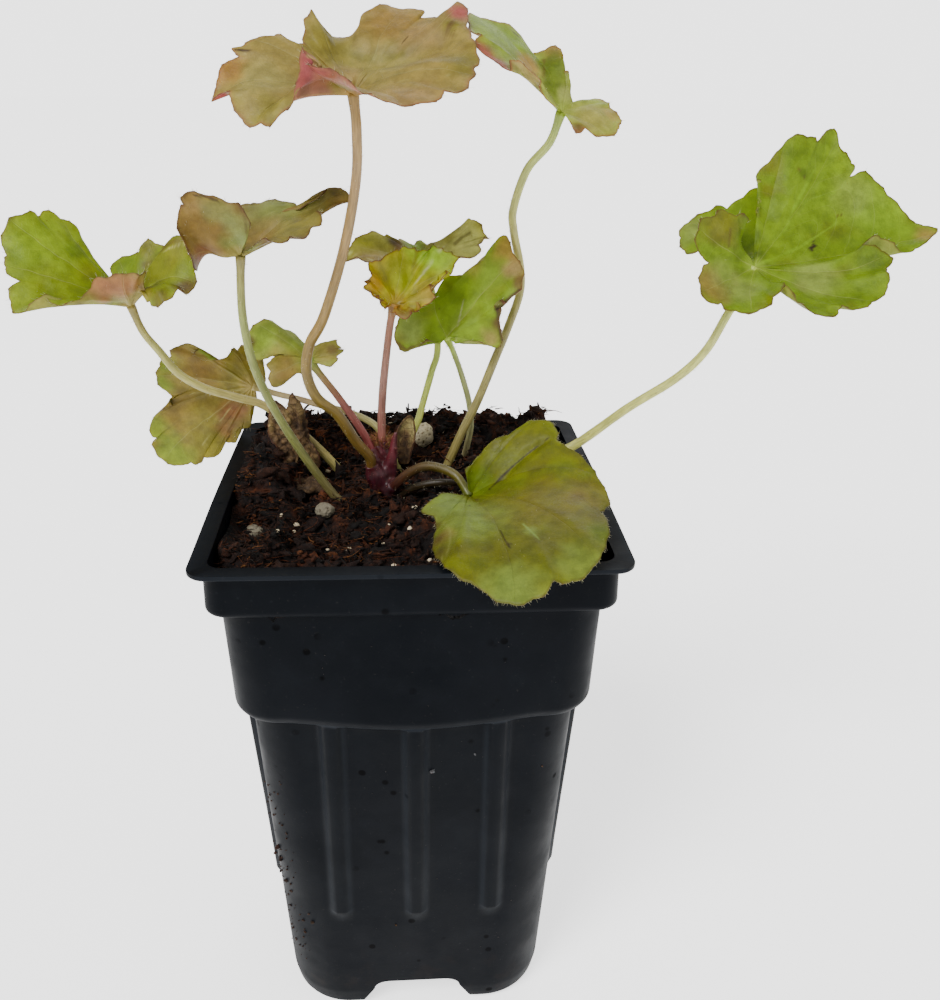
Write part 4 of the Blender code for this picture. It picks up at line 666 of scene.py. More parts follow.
def meshed(name, points, faces):
    """A new mesh object from points and faces as they are given."""
    mesh = bpy.data.meshes.new(name)
    mesh.from_pydata(np.asarray(points, float).tolist(), [], [tuple(face) for face in faces])
    mesh.update()
    return placed(name, mesh)


def modified(obj):
    """An object's mesh with its modifiers applied."""
    return bpy.data.meshes.new_from_object(obj.evaluated_get(bpy.context.evaluated_depsgraph_get()))


def unpacked(mesh):
    """A mesh's points and faces."""
    return np.array([v.co for v in mesh.vertices]), [tuple(p.vertices) for p in mesh.polygons]


def make(name, points, faces, material, nodes=(), slot=None, colours=None, values=(), sharp=None):
    """One finished piece from points and faces in millimetres, riding with the part."""
    obj = meshed(name, np.asarray(points) * MM + RIM, faces)
    mesh = obj.data
    mesh.shade_smooth()
    if sharp is not None:
        mesh.set_sharp_from_angle(angle=math.radians(sharp))
    if colours is not None:
        layer = mesh.attributes.new("tint", "FLOAT_COLOR", "POINT")
        rgba = np.ones((len(mesh.vertices), 4))
        rgba[:, :3] = colours
        layer.data.foreach_set("color", rgba.ravel())
    for key, value in dict(values).items():
        layer = mesh.attributes.new(key, "FLOAT", "POINT")
        layer.data.foreach_set("value", np.asarray(value, float))
    mesh.materials.append(material)
    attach(obj, "root")
    if nodes:
        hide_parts(*nodes)
    return obj


class Heap:
    """Many small bodies gathered into one mesh."""

    def __init__(self):
        self.points, self.faces, self.colours, self.count = [], [], [], 0

    def add(self, points, faces, colour):
        """Put one body on the heap; its colour is one colour or one for each point."""
        self.points.append(np.asarray(points))
        self.faces += [tuple(i + self.count for i in face) for face in faces]
        self.colours.append(np.broadcast_to(colour, (len(points), 3)))
        self.count += len(points)

    def make(self, name, material, **rest):
        """The heap as one piece."""
        colours = np.vstack(self.colours)
        return make(name, np.vstack(self.points), self.faces, material, colours=colours, **rest)


def curve_through(keys, steps):
    """Points along a smooth curve through the keys, steps of them to each span."""
    keys = np.array(keys, float)
    ends = np.vstack([2 * keys[0] - keys[1], keys, 2 * keys[-1] - keys[-2]])
    out = []
    for i in range(len(keys) - 1):
        p0, p1, p2, p3 = ends[i:i + 4]
        for k in range(steps):
            t = k / steps
            out.append(0.5 * (2 * p1 + (p2 - p0) * t + (2 * p0 - 5 * p1 + 4 * p2 - p3) * t ** 2
                              + (3 * p1 - p0 - 3 * p2 + p3) * t ** 3))
    out.append(keys[-1])
    return np.array(out)


def loft(rings, cap_first=True, cap_last=True):
    """Points and faces of a skin over closed rings of equal length."""
    count = len(rings[0])
    faces = []
    for low in range(len(rings) - 1):
        a, b = low * count, (low + 1) * count
        for i in range(count):
            j = (i + 1) % count
            faces.append((a + i, a + j, b + j, b + i))
    if cap_first:
        faces.append(tuple(reversed(range(count))))
    if cap_last:
        last = (len(rings) - 1) * count
        faces.append(tuple(last + i for i in range(count)))
    return np.vstack(rings), faces


def tube(path, radii, sides, grooved=0.0):
    """Points and faces of a round tube along a path, with a radius for each point of it."""
    path = np.asarray(path, float)
    along = unit(np.gradient(path, axis=0))
    across = np.cross(along[0], (0.0, 1.0, 0.1))
    rings = []
    for point, forward, radius in zip(path, along, radii):
        across = unit(across - forward * (across @ forward))
        other = np.cross(forward, across)
        turns = 2 * math.pi * np.arange(sides) / sides
        reach = radius * (1 - grooved * np.exp(-((turns - 1.2) / 0.45) ** 2))
        ways = np.cos(turns)[:, None] * across + np.sin(turns)[:, None] * other
        rings.append(point + reach[:, None] * ways)
    return loft(rings)


def hair(root, way, length, width, draw):
    """A tapering three-sided hair, bent a little."""
    way = unit(np.asarray(way, float))
    side = unit(np.cross(way, (0.31, 0.52, 0.79)))
    other = np.cross(way, side)
    bend = length * 0.25 * (draw.uniform(-1, 1) * side + draw.uniform(-1, 1) * other)
    middle = root + way * length * 0.55 + bend * 0.4
    tip = root + way * length + bend
    turns = [(math.cos(t), math.sin(t)) for t in (0.0, 2.094, 4.189)]
    points = [root + width / 2 * (c * side + s * other) for c, s in turns]
    points += [middle + width / 3 * (c * side + s * other) for c, s in turns]
    points.append(tip)
    faces = [(i, (i + 1) % 3, 3 + (i + 1) % 3, 3 + i) for i in range(3)]
    faces += [(3 + i, 3 + (i + 1) % 3, 6) for i in range(3)]
    faces.append((2, 1, 0))
    return points, faces


class Graph:
    """A material's node tree, with a short way to add each kind of node."""

    def __init__(self, name, values):
        self.material = bpy.data.materials.new(name)
        self.material.use_nodes = True
        self.tree = self.material.node_tree
        self.shader = self.tree.nodes["Principled BSDF"]
        for key, value in values.items():
            self.shader.inputs[key].default_value = value
        self.place = self.node("TexCoord").outputs["Object"]

    def node(self, kind, feeds=None, **settings):
        """A node with its settings, its sockets fed with values or other nodes' outputs."""
        made = self.tree.nodes.new("ShaderNode" + kind)
        for key, value in settings.items():
            setattr(made, key, value)
        for key, value in (feeds or {}).items():
            self.feed(made.inputs[key], value)
        return made

    def feed(self, socket, value):
        """Give a socket a value or link an output to it."""
        if isinstance(value, bpy.types.NodeSocket):
            self.tree.links.new(value, socket)
        else:
            socket.default_value = value

    def attribute(self, name, output="Fac"):
        """A value painted on the mesh."""
        return self.node("Attribute", attribute_name=name).outputs[output]

    def noise(self, size, detail=3.0, rough=0.6, vector=None):
        """Cloudy noise with lumps of about size millimetres."""
        feeds = {"Vector": vector or self.place, "Scale": 1 / MM / size, "Detail": detail, "Roughness": rough}
        return self.node("TexNoise", feeds).outputs[0]

    def cells(self, size, feature="F1", output="Distance", vector=None):
        """Cells of about size millimetres."""
        feeds = {"Vector": vector or self.place, "Scale": 1 / MM / size}
        return self.node("TexVoronoi", feeds, feature=feature).outputs[output]

    def bent(self, size, depth):
        """The place, pushed about by noise of the given size and depth in millimetres."""
        feeds = {"Vector": self.place, "Scale": 1 / MM / size, "Detail": 2.0}
        swirl = self.node("TexNoise", feeds).outputs[1]
        middle = self.node("VectorMath", {0: swirl, 1: (0.5, 0.5, 0.5)}, operation="SUBTRACT").outputs[0]
        push = self.node("VectorMath", {0: middle, 3: depth * MM}, operation="SCALE").outputs[0]
        return self.node("VectorMath", {0: self.place, 1: push}, operation="ADD").outputs[0]

    def maths(self, operation, a, b=0.0):
        """One sum of two values."""
        return self.node("Math", {0: a, 1: b}, operation=operation).outputs[0]

    def times(self, a, b):
        """Two values multiplied."""
        return self.maths("MULTIPLY", a, b)

    def spread(self, value, low, high, out_low=0.0, out_high=1.0):
        """A value stretched from low..high to out_low..out_high, and held there."""
        feeds = {0: value, 1: low, 2: high, 3: out_low, 4: out_high}
        return self.node("MapRange", feeds, interpolation_type="SMOOTHSTEP").outputs[0]

    def below(self, value, low, high):
        """1 where a value is under low, 0 where it is over high."""
        return self.spread(value, low, high, 1.0, 0.0)

    def mix(self, a, b, share, blend="MIX"):
        """Two colours mixed."""
        made = self.node("Mix", {0: share, 6: a, 7: b}, data_type="RGBA", blend_type=blend)
        return made.outputs[2]

    def lay(self, under, colour, share, strength):
        """A display colour laid over another colour by a share times a strength."""
        return self.mix(under, rgba(colour), self.times(share, strength))

    def clouded(self, cloud, out_low, out_high, low=0.3, high=0.7):
        """The tint painted on the mesh, made darker and lighter by a cloud."""
        tint = self.attribute("tint", "Color")
        return self.mix(tint, self.spread(cloud, low, high, out_low, out_high), 1.0, "MULTIPLY")

    def bump(self, height, depth, strength=1.0):
        """Relief of the given depth in millimetres on the shader."""
        feeds = {"Height": height, "Distance": depth * MM, "Strength": strength}
        before = self.shader.inputs["Normal"]
        if before.is_linked:
            feeds["Normal"] = before.links[0].from_socket
        self.feed(before, self.node("Bump", feeds).outputs[0])

    def paint(self, colour, roughness=None):
        """Feed the shader; without a roughness its own socket's value stays."""
        self.feed(self.shader.inputs["Base Color"], colour)
        if roughness is not None:
            self.feed(self.shader.inputs["Roughness"], roughness)
        return self.material


def rgba(colour):
    """A display colour as a node's colour value."""
    return (*linear(colour), 1.0)


def traced(rows, seat, trace):
    """A margin's rows drawn anew through a trace's pixels, at the depths of the rows they are tied to."""
    form = re.compile(r"([SLE])(\d+),(\d+)(?:@(\d+)([+-]\d+)?)?")
    words = [form.fullmatch(word).groups() for word in trace.split()]
    pixels = np.array([(float(word[1]), float(word[2])) for word in words])
    run = run_along(pixels)
    tied = [i for i, word in enumerate(words) if word[3]]
    key = np.interp(run, run[tied], [float(words[i][3]) for i in tied])
    push = np.interp(run, run[tied], [float(words[i][4] or 0) for i in tied])
    _, depth = project(np.array([row[1:4] for row in rows]) + seat)
    depth = np.interp(key, np.arange(len(rows)), depth) + push
    arch = np.interp(key, np.arange(len(rows)), [row[4] for row in rows])
    out = []
    for i, word in enumerate(words):
        way = ray(pixels[i])
        out.append((word[0], *(EYE + way * depth[i] / (way @ FORWARD) - seat), arch[i], key[i]))
    return out


def margin_of(rows, steps):
    """The margin as rows of x, y, z, arch and key number; smooth along a lobe, sharp at a notch."""
    runs, run = [], []
    for row in rows:
        run.append(row[1:])
        if row[0] == "S":
            runs.append(run)
            run = [row[1:]]
    runs.append(run)
    out = [np.array(runs[0][:1])]
    for run in runs:
        if len(run) > 1:
            out.append(curve_through(run, steps)[1:])
    return np.vstack(out)


def eased_ways(margin, up, rounds):
    """Unit directions to the margin, smoothed and never turning back round the seat."""
    east = unit(np.cross(up, margin[0]))
    north = np.cross(up, east)
    ways = unit(margin)
    turn = np.unwrap(np.arctan2(ways @ north, ways @ east))
    turn = (np.maximum.accumulate(turn) + np.minimum.accumulate(turn[::-1])[::-1]) / 2
    turn = 0.88 * turn + 0.12 * np.linspace(turn[0], turn[-1], len(turn))
    rise = np.arcsin(ways @ up)
    for _ in range(rounds):
        for row in (turn, rise):
            row[1:-1] = 0.5 * row[1:-1] + 0.25 * (row[:-2] + row[2:])
    flat = np.cos(turn)[:, None] * east + np.sin(turn)[:, None] * north
    return np.cos(rise)[:, None] * flat + np.sin(rise)[:, None] * up


class Sheet:
    """The fine middle sheet of a blade: rows of points from the seat out to the margin."""

    def __init__(self, leaf, column_gap, ring_gap, trace=None):
        keys = [(*key[:4], key[4] if len(key) > 4 else leaf.arch, i) for i, key in enumerate(leaf.margin)]
        if trace:
            keys = traced(keys, np.array(leaf.seat, float), trace)
        rough = margin_of(keys, 3)[:, :3]
        length = run_along(rough)[-1]
        rows = margin_of(keys, max(3, round(length / column_gap / (len(keys) - 1))))
        self.margin, arch, self.key = rows[:, :3], rows[:, 3], np.maximum.accumulate(rows[:, 4])
        self.reach = np.linalg.norm(self.margin, axis=1)
        rings = max(8, round(np.percentile(self.reach, 80) / ring_gap))
        self.shares = np.concatenate([np.linspace(0, 0.9, rings), (0.925, 0.95, 0.97, 0.985, 1.0)])
        towards = unit(self.margin)
        self.up = unit(np.cross(self.margin[:-1], self.margin[1:]).sum(0))
        eased = eased_ways(self.margin, self.up, round(4 * (len(rows) / len(leaf.margin)) ** 2))
        rings = []
        for share in self.shares:
            way = unit(eased * (1 - share ** 3) + towards * share ** 3)
            lift = 2 * share * (1 - share) * arch * self.reach
            rings.append(share * self.reach[:, None] * way + lift[:, None] * self.up)
        self.points = np.array(rings) + np.array(leaf.seat, float)
        self.run = run_along(self.margin)
        self.outward = unit(self.points[-1] - self.points[-4])

    def normals(self):
        """A unit normal for each point."""
        points = self.points
        down = np.gradient(points, axis=0)
        along = np.gradient(points, axis=1)
        out = np.cross(down, along)
        out[0] = self.up
        out = unit(out)
        out[1] = unit(out[1] + self.up)
        return out

    def ribs(self, leaf):
        """Each point's signed distance from its lobe's main vein, and its place among the side veins."""
        notches = [0]
        for i, key in enumerate(leaf.margin):
            if key[0] == "S" and i - notches[-1] > 1:
                notches.append(i)
        notches.append(len(leaf.margin) - 1)
        gaps = np.linalg.norm(np.diff(self.points, axis=1), axis=2)
        length = np.column_stack([np.zeros(len(gaps)), np.cumsum(gaps, axis=1)])
        rib, twig = np.zeros(length.shape), np.zeros(length.shape)
        turn = 1
        for first, last in zip(notches, notches[1:]):
            inner = np.arange(first + 1, last) if last - first > 1 else np.array([(first + last) / 2])
            weight = np.interp(inner, self.key, self.reach) ** 3
            middle = (inner * weight).sum() / weight.sum()
            mine = np.flatnonzero((self.key >= first) & (self.key <= last))
            at = np.argmin(np.abs(self.key - middle))
            rib[:, mine] = turn * (length[:, mine] - length[:, at:at + 1])
            side = self.key[mine] - middle
            off = np.abs(side) / np.where(side < 0, middle - first, last - middle)
            twig[:, mine] = (self.shares[:, None] - 0.42 * off ** 1.15) / 0.15 + 0.16 * turn * np.sign(side)
            turn = -turn
        return rib.ravel(), twig.ravel()


def line_distance(surface, pixels):
    """How far each point of a surface lies from a line drawn on it through the photograph's pixels."""
    spots = [spot_on(surface, pixel) for pixel in pixels]
    distance = np.full(len(surface), 99.0)
    for a, b in zip(spots, spots[1:] or spots):
        along = np.clip((surface - a) @ (b - a) / max((b - a) @ (b - a), 1e-9), 0, 1)
        distance = np.minimum(distance, np.linalg.norm(surface - a - along[:, None] * (b - a), axis=1))
    return distance


def spot_on(surface, pixel):
    """The point of a surface that is seen at a pixel of the photograph."""
    seen, depth = project(surface)
    off = np.linalg.norm(seen - np.array(pixel, float), axis=1)
    near = np.flatnonzero(off < off.min() + 2.5)
    return surface[near[np.argmin(depth[near])]]


def paint(tint, share, colour):
    """Lay a colour over the tint where share is above 0."""
    tint += np.clip(share, 0, 1)[:, None] * (linear(colour) - tint)


def leaf_blade(letter):
    """One leaf: a thin shell with teeth, veins, waves and its own colours."""
    leaf, look = LEAVES[letter], LOOKS[letter]
    sheet = Sheet(leaf, COLUMN_GAP, RING_GAP, TRACES[letter])
    rows, count = sheet.points.shape[:2]
    flat = sheet.points.reshape(-1, 3)
    shares = np.repeat(sheet.shares, count)
    broad = noise_at(flat, 9.0, look.seed)
    fine = noise_at(flat, 3.1, look.seed + 5)
    rib, twig = sheet.ribs(leaf)
    rib = rib + 0.35 * fine * smooth(shares * 3)
    twig = twig + 0.15 * broad
    main = np.exp(-(rib / 0.6) ** 2) * (1 - 0.6 * shares)
    away = sheet.normals()
    pucker = 0.2 * look.pucker * smooth(np.abs(rib) / 2.2) * (0.6 + 1.2 * fine)
    waves = (0.35 * noise_at(flat, 6.5, look.seed + 9) + 0.1 * fine) * shares ** 4
    swell = pucker * smooth(shares / 0.15) + (0.8 * broad * shares + waves) * look.wave
    swell *= 1 - 0.75 * shares ** 6
    facing = np.sign((away.reshape(-1, 3) * (EYE - flat)).sum(1))
    for _, (height, width), pixels in entries(look.folds):
        swell += facing * height * np.exp(-(line_distance(flat, pixels) / width) ** 2) * smooth(shares * 4)
    sheet.points += away * swell.reshape(-1, count)[:, :, None]
    bend = 0.4 * noise_at(np.outer(sheet.run, (0.12, 0, 0)), 1.0, look.seed)
    scallop = np.abs(np.sin(np.pi * (sheet.run / look.tooth_pitch + bend)))
    point = np.exp(-((1 - scallop) / 0.025) ** 2)
    tooth = look.tooth * (scallop ** 0.5 - 0.7) + look.point * point
    sheet.points += (smooth((sheet.shares - 0.9) / 0.1)[:, None] * tooth)[:, :, None] * sheet.outward
    way = sheet.normals()
    thick = 0.5 * look.thickness * (1 - 0.55 * smooth((sheet.shares - 0.8) / 0.2))
    raised = main.reshape(-1, count)
    upper = sheet.points + way * (thick[:, None] - 0.12 * raised)[:, :, None]
    under = sheet.points - way * (thick[:, None] + 0.3 * raised)[:, :, None]
    points = np.vstack([upper.reshape(-1, 3), under.reshape(-1, 3)])
    tints = [leaf_tint(look, flat, sheet, shares, main, broad, fine, point, face) for face in ("up", "under")]
    # The gains lay the leaf's own tone and its painted light and shade over the tint.
    tints = np.vstack(tints) * TONE_AND_PAINTED_LIGHT_GAINS[letter]
    neck = 2.2 + 5 * STALK_FLARE.get(letter, 0.2)
    grip = smooth(1.5 - np.linalg.norm(flat - leaf.seat, axis=1) / neck)
    paint(tints, np.concatenate([0.25 * grip, 0.85 * grip]), STALK_LOOKS[letter][-1][1])
    fade = look.vein_strength * smooth(6 * (1 - shares)) * (0.7 + 0.5 * fine)
    values = {"rib": np.tile(rib, 2), "twig": np.tile(twig, 2), "vein": np.tile(fade, 2)}
    piece = make("leaf_" + letter, points, shell_faces(rows, count), MATERIALS["leaf"], ("blade_" + letter,),
                 slot=look.slot, colours=tints, values=values)
    weld(piece)
    hairs(letter, look, sheet, way)


def weld(piece):
    """Merge the points that lie on one another at the seat."""
    bm = bmesh.new()
    bm.from_mesh(piece.data)
    bmesh.ops.remove_doubles(bm, verts=bm.verts, dist=1e-6)
    bm.to_mesh(piece.data)
    bm.free()


def leaf_tint(look, flat, sheet, shares, main, broad, fine, point, face):
    """The colour of each point of one face of a leaf."""
    upper = face == "up"
    tint = np.tile(linear(look.upper if upper else look.under), (len(flat), 1))
    blotch = noise_at(flat, 5.0, look.seed + 20)
    second = look.second if upper else look.under_second
    paint(tint, look.mottle * smooth(0.5 + 0.9 * broad + 0.8 * blotch), second)
    paint(tint, 0.35 * smooth(1.8 * blotch - 0.6 * fine - 0.35), look.deep)
    # Some of these marks and lines are painted shade in valleys and hollows, or a painted highlight on a
    # ridge.
    for (colour, *only), (radius, strength), pixel in entries(look.marks):
        if only in ([], [face]):
            distance = line_distance(flat, pixel) * (1 + 0.4 * fine)
            paint(tint, strength * smooth(1.35 * (1 - distance / radius)), COLOURS[colour])
    for (colour,), (width, strength), pixels in entries(look.lines):
        distance = line_distance(flat, pixels)
        paint(tint, strength * smooth(1.5 - distance / (width * (1 + 0.5 * fine))), COLOURS[colour])
    paint(tint, 0.5 * abs(look.vein_strength) * main, look.vein if upper else look.vein_under)
    rim = (1 - shares) * np.tile(sheet.reach, len(sheet.shares))
    paint(tint, look.rim_strength * smooth(1 - rim / (look.rim_width * (1 + 0.7 * fine))), look.rim)
    paint(tint, 0.55 * smooth(1 - rim / 0.22), look.tip)
    tips = np.tile(point, len(sheet.shares))
    paint(tint, 0.9 * tips * smooth(1 - rim / 0.7), look.tip)
    return tint


def hairs(letter, look, sheet, way):
    """The pale hairs that fringe a leaf's margin and stand on its back."""
    draw = random.Random(look.seed * 31)
    heap = Heap()
    count = sheet.points.shape[1]
    for _ in range(look.hairs):
        c = draw.randrange(1, count - 1)
        if draw.random() < 0.72:
            before, root, after = sheet.points[-1, c - 1:c + 2]
            lean = sheet.outward[c] + 0.5 * draw.uniform(-1, 1) * unit(after - before)
            lean = lean + 0.35 * draw.uniform(-1, 1) * way[-1, c]
            length = draw.uniform(0.5, 1.3)
        else:
            r = draw.randrange(6, len(sheet.shares) - 2)
            side = -1 if draw.random() < 0.7 else 1
            root = sheet.points[r, c] + side * way[r, c] * 0.15
            lean = side * way[r, c] + 0.5 * draw.uniform(-1, 1) * sheet.outward[c]
            length = draw.uniform(0.4, 0.9)
        heap.add(*hair(root, lean, length * look.hair_length, HAIR_WIDTH, draw), linear(HAIR_COLOUR))
    heap.make("leaf_hairs_" + letter, MATERIALS["hair"], slot=look.slot)


def stalk(letter, name):
    """One hairy leaf stalk, flared where it runs into the blade."""
    first, last, keys = STALKS[letter]
    look = STALK_LOOKS[letter]
    path = curve_through(keys, 9)
    run = run_along(path)
    share = run / run[-1]
    left = run[-1] - run
    radii = (first + (last - first) * share) / 2
    radii = radii * (1 + 0.05 * noise_at(path, 6.0, len(letter) + ord(letter[0])))
    if letter != "stub":
        radii = radii * (1 + STALK_FLARE.get(letter, 0.6) * smooth(1 - left / 5.0) ** 2)
    radii = radii * (1 + 0.18 * smooth(1 - run / 5.0))
    points, faces = tube(path, radii, STALK_SIDES, grooved=0.1)
    along = np.repeat(share, STALK_SIDES)
    stops = [stop[0] for stop in look]
    shades = np.array([linear(stop[1]) for stop in look])
    tint = np.stack([np.interp(along, stops, shades[:, k]) for k in range(3)], axis=1)
    # The stalk's gains carry its own tone and its painted light and shade.
    tint *= (1 + 0.14 * noise_at(points, 2.2, ord(letter[0])))[:, None] * STALK_TONE_AND_PAINTED_LIGHT_GAINS[letter]
    around = np.tile(np.arange(STALK_SIDES) / STALK_SIDES, len(path))
    streak = {"round": around, "along": np.repeat(run, STALK_SIDES)}
    slot = STALK_SLOTS[letter]
    make(name + "_skin", points, faces, MATERIALS["stalk"], (name,), slot=slot, colours=tint, values=streak)
    draw = random.Random(ord(letter[0]) * 7)
    heap = Heap()
    for _ in range(int(run[-1] * 2.6)):
        i = draw.randrange(2, len(path) - 2)
        forward = unit(path[i + 1] - path[i - 1])
        outward = unit(np.cross(forward, [draw.uniform(-1, 1) for _ in range(3)]))
        root = path[i] + outward * radii[i] * 0.93
        lean = outward + forward * draw.uniform(-0.5, 0.5)
        shade = (232, 222, 190) if draw.random() < 0.75 else (120, 70, 50)
        heap.add(*hair(root, lean, draw.uniform(0.35, 0.95), STALK_HAIR_WIDTH, draw), linear(shade))
    heap.make(name + "_hairs", MATERIALS["hair"], slot=slot)


def shell_columns():
    """Distances round half a side, from its middle: dense where a rib's flank rises."""
    flank = (0.9, 1.5, 2.0, 2.5, 3.0, 3.5)
    beside = {RIB_PITCH + side * step for step in flank for side in (-1, 1)}
    return sorted({0.0, *flank, 5.4, 7.8, 10.2, 12.6, RIB_PITCH, *beside, 22.4})


def outline(half, radius, bow, columns):
    """Points and outward ways round the pot at one height, and how far each is from its side's middle."""
    flat = half - radius
    edge = flat + radius * math.pi / 4
    start = max(flat, columns[-1] + 1.0)
    corner = [columns[-1] + (start - columns[-1]) * share for share in (0.33, 0.66, 1.0)]
    corner += [start + (edge - start) * k / CORNER_STEPS for k in range(1, CORNER_STEPS + 1)]
    widths = columns + corner
    rows = []
    for w in widths:
        if w <= flat:
            t = w / flat
            slope = -3 * bow * t * math.sqrt(max(1 - t * t, 0)) / flat
            rows.append((half + bow * (1 - t * t) ** 1.5, w, 1.0, -slope))
        else:
            turn = (w - flat) / radius
            rows.append((half - radius + radius * math.cos(turn), flat + radius * math.sin(turn),
                         math.cos(turn), math.sin(turn)))
    side = [(x, -y, nx, -ny, -w) for (x, y, nx, ny), w in zip(rows[:0:-1], widths[:0:-1])]
    side += [(x, y, nx, ny, w) for (x, y, nx, ny), w in zip(rows[:-1], widths[:-1])]
    ring = []
    for cos, sin in ((1, 0), (0, 1), (-1, 0), (0, -1)):
        ring += [(x * cos - y * sin, x * sin + y * cos, nx * cos - ny * sin, nx * sin + ny * cos, w)
                 for x, y, nx, ny, w in side]
    return np.array(ring)


def rounded(profile, cut, longest):
    """The profile with its corners rounded and its long runs divided."""
    rows = [np.array(profile[0], float)]
    for before, here, after in zip(profile, profile[1:], profile[2:]):
        before, here, after = (np.array(row, float) for row in (before, here, after))
        back, on = np.linalg.norm((before - here)[:2]), np.linalg.norm((after - here)[:2])
        first = here + (before - here) * min(cut / back, 0.45)
        last = here + (after - here) * min(cut / on, 0.45)
        for t in (0, 0.25, 0.5, 0.75, 1):
            rows.append(first * (1 - t) ** 2 + 2 * here * t * (1 - t) + last * t * t)
    rows.append(np.array(profile[-1], float))
    out = [rows[0]]
    for row in rows[1:]:
        gap = np.linalg.norm((row - out[-1])[:2])
        middle = (row[0] + out[-1][0]) / 2
        limit = 0.55 if abs(middle - RIB_FOOT_Z - 2) < 4 else longest
        pieces = max(1, math.ceil(gap / limit))
        start = out[-1]
        out += [start + (row - start) * k / pieces for k in range(1, pieces + 1)]
    return out


def rib_height(w, z):
    """How far the ribs lift the wall at a place."""
    down = min(z - (RIB_FOOT_Z + RIB_WIDTH / 2), 0.0)
    run = min(max((BELT_Z - z) / (BELT_Z - RIB_FOOT_Z), 0.0), 1.0)
    stand = RIB_PROUD[0] + (RIB_PROUD[1] - RIB_PROUD[0]) * run
    off = min(math.hypot(w - middle, down) for middle in (-RIB_PITCH, 0.0, RIB_PITCH))
    return stand * float(smooth((RIB_WIDTH / 2 + 0.7 - off) / 2.7))


def channel(turn):
    """The arched channel between two feet."""
    low, high = CHANNEL_WIDTH[0] / 2, CHANNEL_WIDTH[1] / 2
    foot, crest = -POT_HEIGHT - 1.0, -POT_HEIGHT + BASE_ROOM
    arch = [(-low - 0.8, foot), (low + 0.8, foot)]
    for k in range(7):
        angle = math.pi / 2 * (k / 6)
        arch.append((high + 1.5 - 4.0 * (1 - math.cos(angle)), crest - 2.6 * (1 - math.sin(angle))))
    arch += [(-x, z) for x, z in reversed(arch[2:])]
    cos, sin = math.cos(turn), math.sin(turn)
    ends = (CHANNEL_REACH, -CHANNEL_REACH)
    rings = [[(x * cos - y * sin, x * sin + y * cos, z) for x, z in arch] for y in ends]
    return meshed("channel", *loft(rings))


def drain(x, y):
    """One round drain hole."""
    turns = [math.tau * i / DRAIN_STEPS for i in range(DRAIN_STEPS)]
    circle = [(x + DRAIN_RADIUS * math.cos(t), y + DRAIN_RADIUS * math.sin(t)) for t in turns]
    rings = [[(px, py, z) for px, py in circle] for z in (-POT_HEIGHT - 1, FLOOR_Z + 2)]
    return meshed("drain", *loft(rings))


def build_pot():
    """The moulded pot with soft edges, ribs, feet and drain holes."""
    columns = shell_columns()
    rings = []
    for z, half, radius, bow in rounded(list(reversed(POT_OUTSIDE)), 0.7, 2.4):
        ring = outline(half, radius, bow, columns)
        lift = np.zeros(len(ring))
        if RIB_FOOT_Z - 1 < z < BELT_Z + 0.1:
            room = max(BELT_HALF - 0.1 - half, 0.0)
            lift = np.minimum([rib_height(w, z) for w in ring[:, 4]], room)
        warp = 0.25 * math.sin(z / 17.0 + 0.6)
        out = ring[:, :2] + ring[:, 2:4] * (lift + 0.12 * np.sin(ring[:, 4] / 6.5 + z / 21.0) * warp)[:, None]
        rings.append(np.column_stack([out, np.full(len(ring), z)]))
    for z, half, radius, bow in rounded(list(POT_INSIDE), 0.6, 6.0):
        ring = outline(half, radius, bow, columns)
        rings.append(np.column_stack([ring[:, :2], np.full(len(ring), z)]))
    shell = meshed("shell", *loft(rings))
    holes = [(0, 0), (-DRAIN_REACH, 0), (DRAIN_REACH, 0), (0, -DRAIN_REACH), (0, DRAIN_REACH)]
    for tool in [channel(0.0), channel(math.pi / 2)] + [drain(x, y) for x, y in holes]:
        step = shell.modifiers.new("cut", "BOOLEAN")
        step.operation = "DIFFERENCE"
        step.solver = "EXACT"
        step.object = tool
        whole = modified(shell)
        shell.modifiers.clear()
        shell.data = whole
        bpy.data.objects.remove(tool)
    points, faces = unpacked(shell.data)
    bpy.data.objects.remove(shell)
    # Painted highlight: lighter along the belt's lip, the rim's flange and the flanks of the ribs.
    near, across = np.abs(points[:, :2]).max(1), np.abs(points[:, :2]).min(1)
    lip = smooth((near - (BELT_HALF - 0.8)) / 0.6) * smooth((0.8 - np.abs(points[:, 2] - BELT_Z)) / 0.6)
    flange = smooth((near - FLANGE_NEAR) / 0.5)
    ribbed = [RIB_FOOT_Z - 2 < z < BELT_Z for z in points[:, 2]]
    stands = np.array([rib_height(w, z) * on for w, z, on in zip(across, points[:, 2], ribbed)])
    flank = smooth(2.2 * stands) * smooth(2.4 * (1.5 - stands)) * (near > INNER_REACH)
    make("pot_shell", points, faces, MATERIALS["pot"], ("pot",), slot="pot_plastic", sharp=42,
         values={"painted_highlight": np.maximum(np.maximum(lip, 0.7 * flange), 0.6 * flank)})
    return BVHTree.FromPolygons([tuple(p) for p in points], faces)


def soil_height(x, y):
    """Height of the peat's surface: low at the front, mounded at the back, lumpy."""
    run = min(max((y + 30.0) / 68.0, 0.0), 1.0)
    base = SOIL_FRONT_Z + SOIL_RISE * run ** 2.6
    lumps = 1.1 * noise.noise(Vector((x, y, SEED * 3.0)) / 7.0)
    lumps += 0.7 * noise.noise(Vector((x, y, SEED)) / 3.2)
    wall = max(abs(x), abs(y))
    slump = 3.2 * min(max((wall - 35.5) / 5.0, 0.0), 1.0) ** 1.5
    return max(base + lumps - slump, LEDGE_Z + WALL + 0.9)


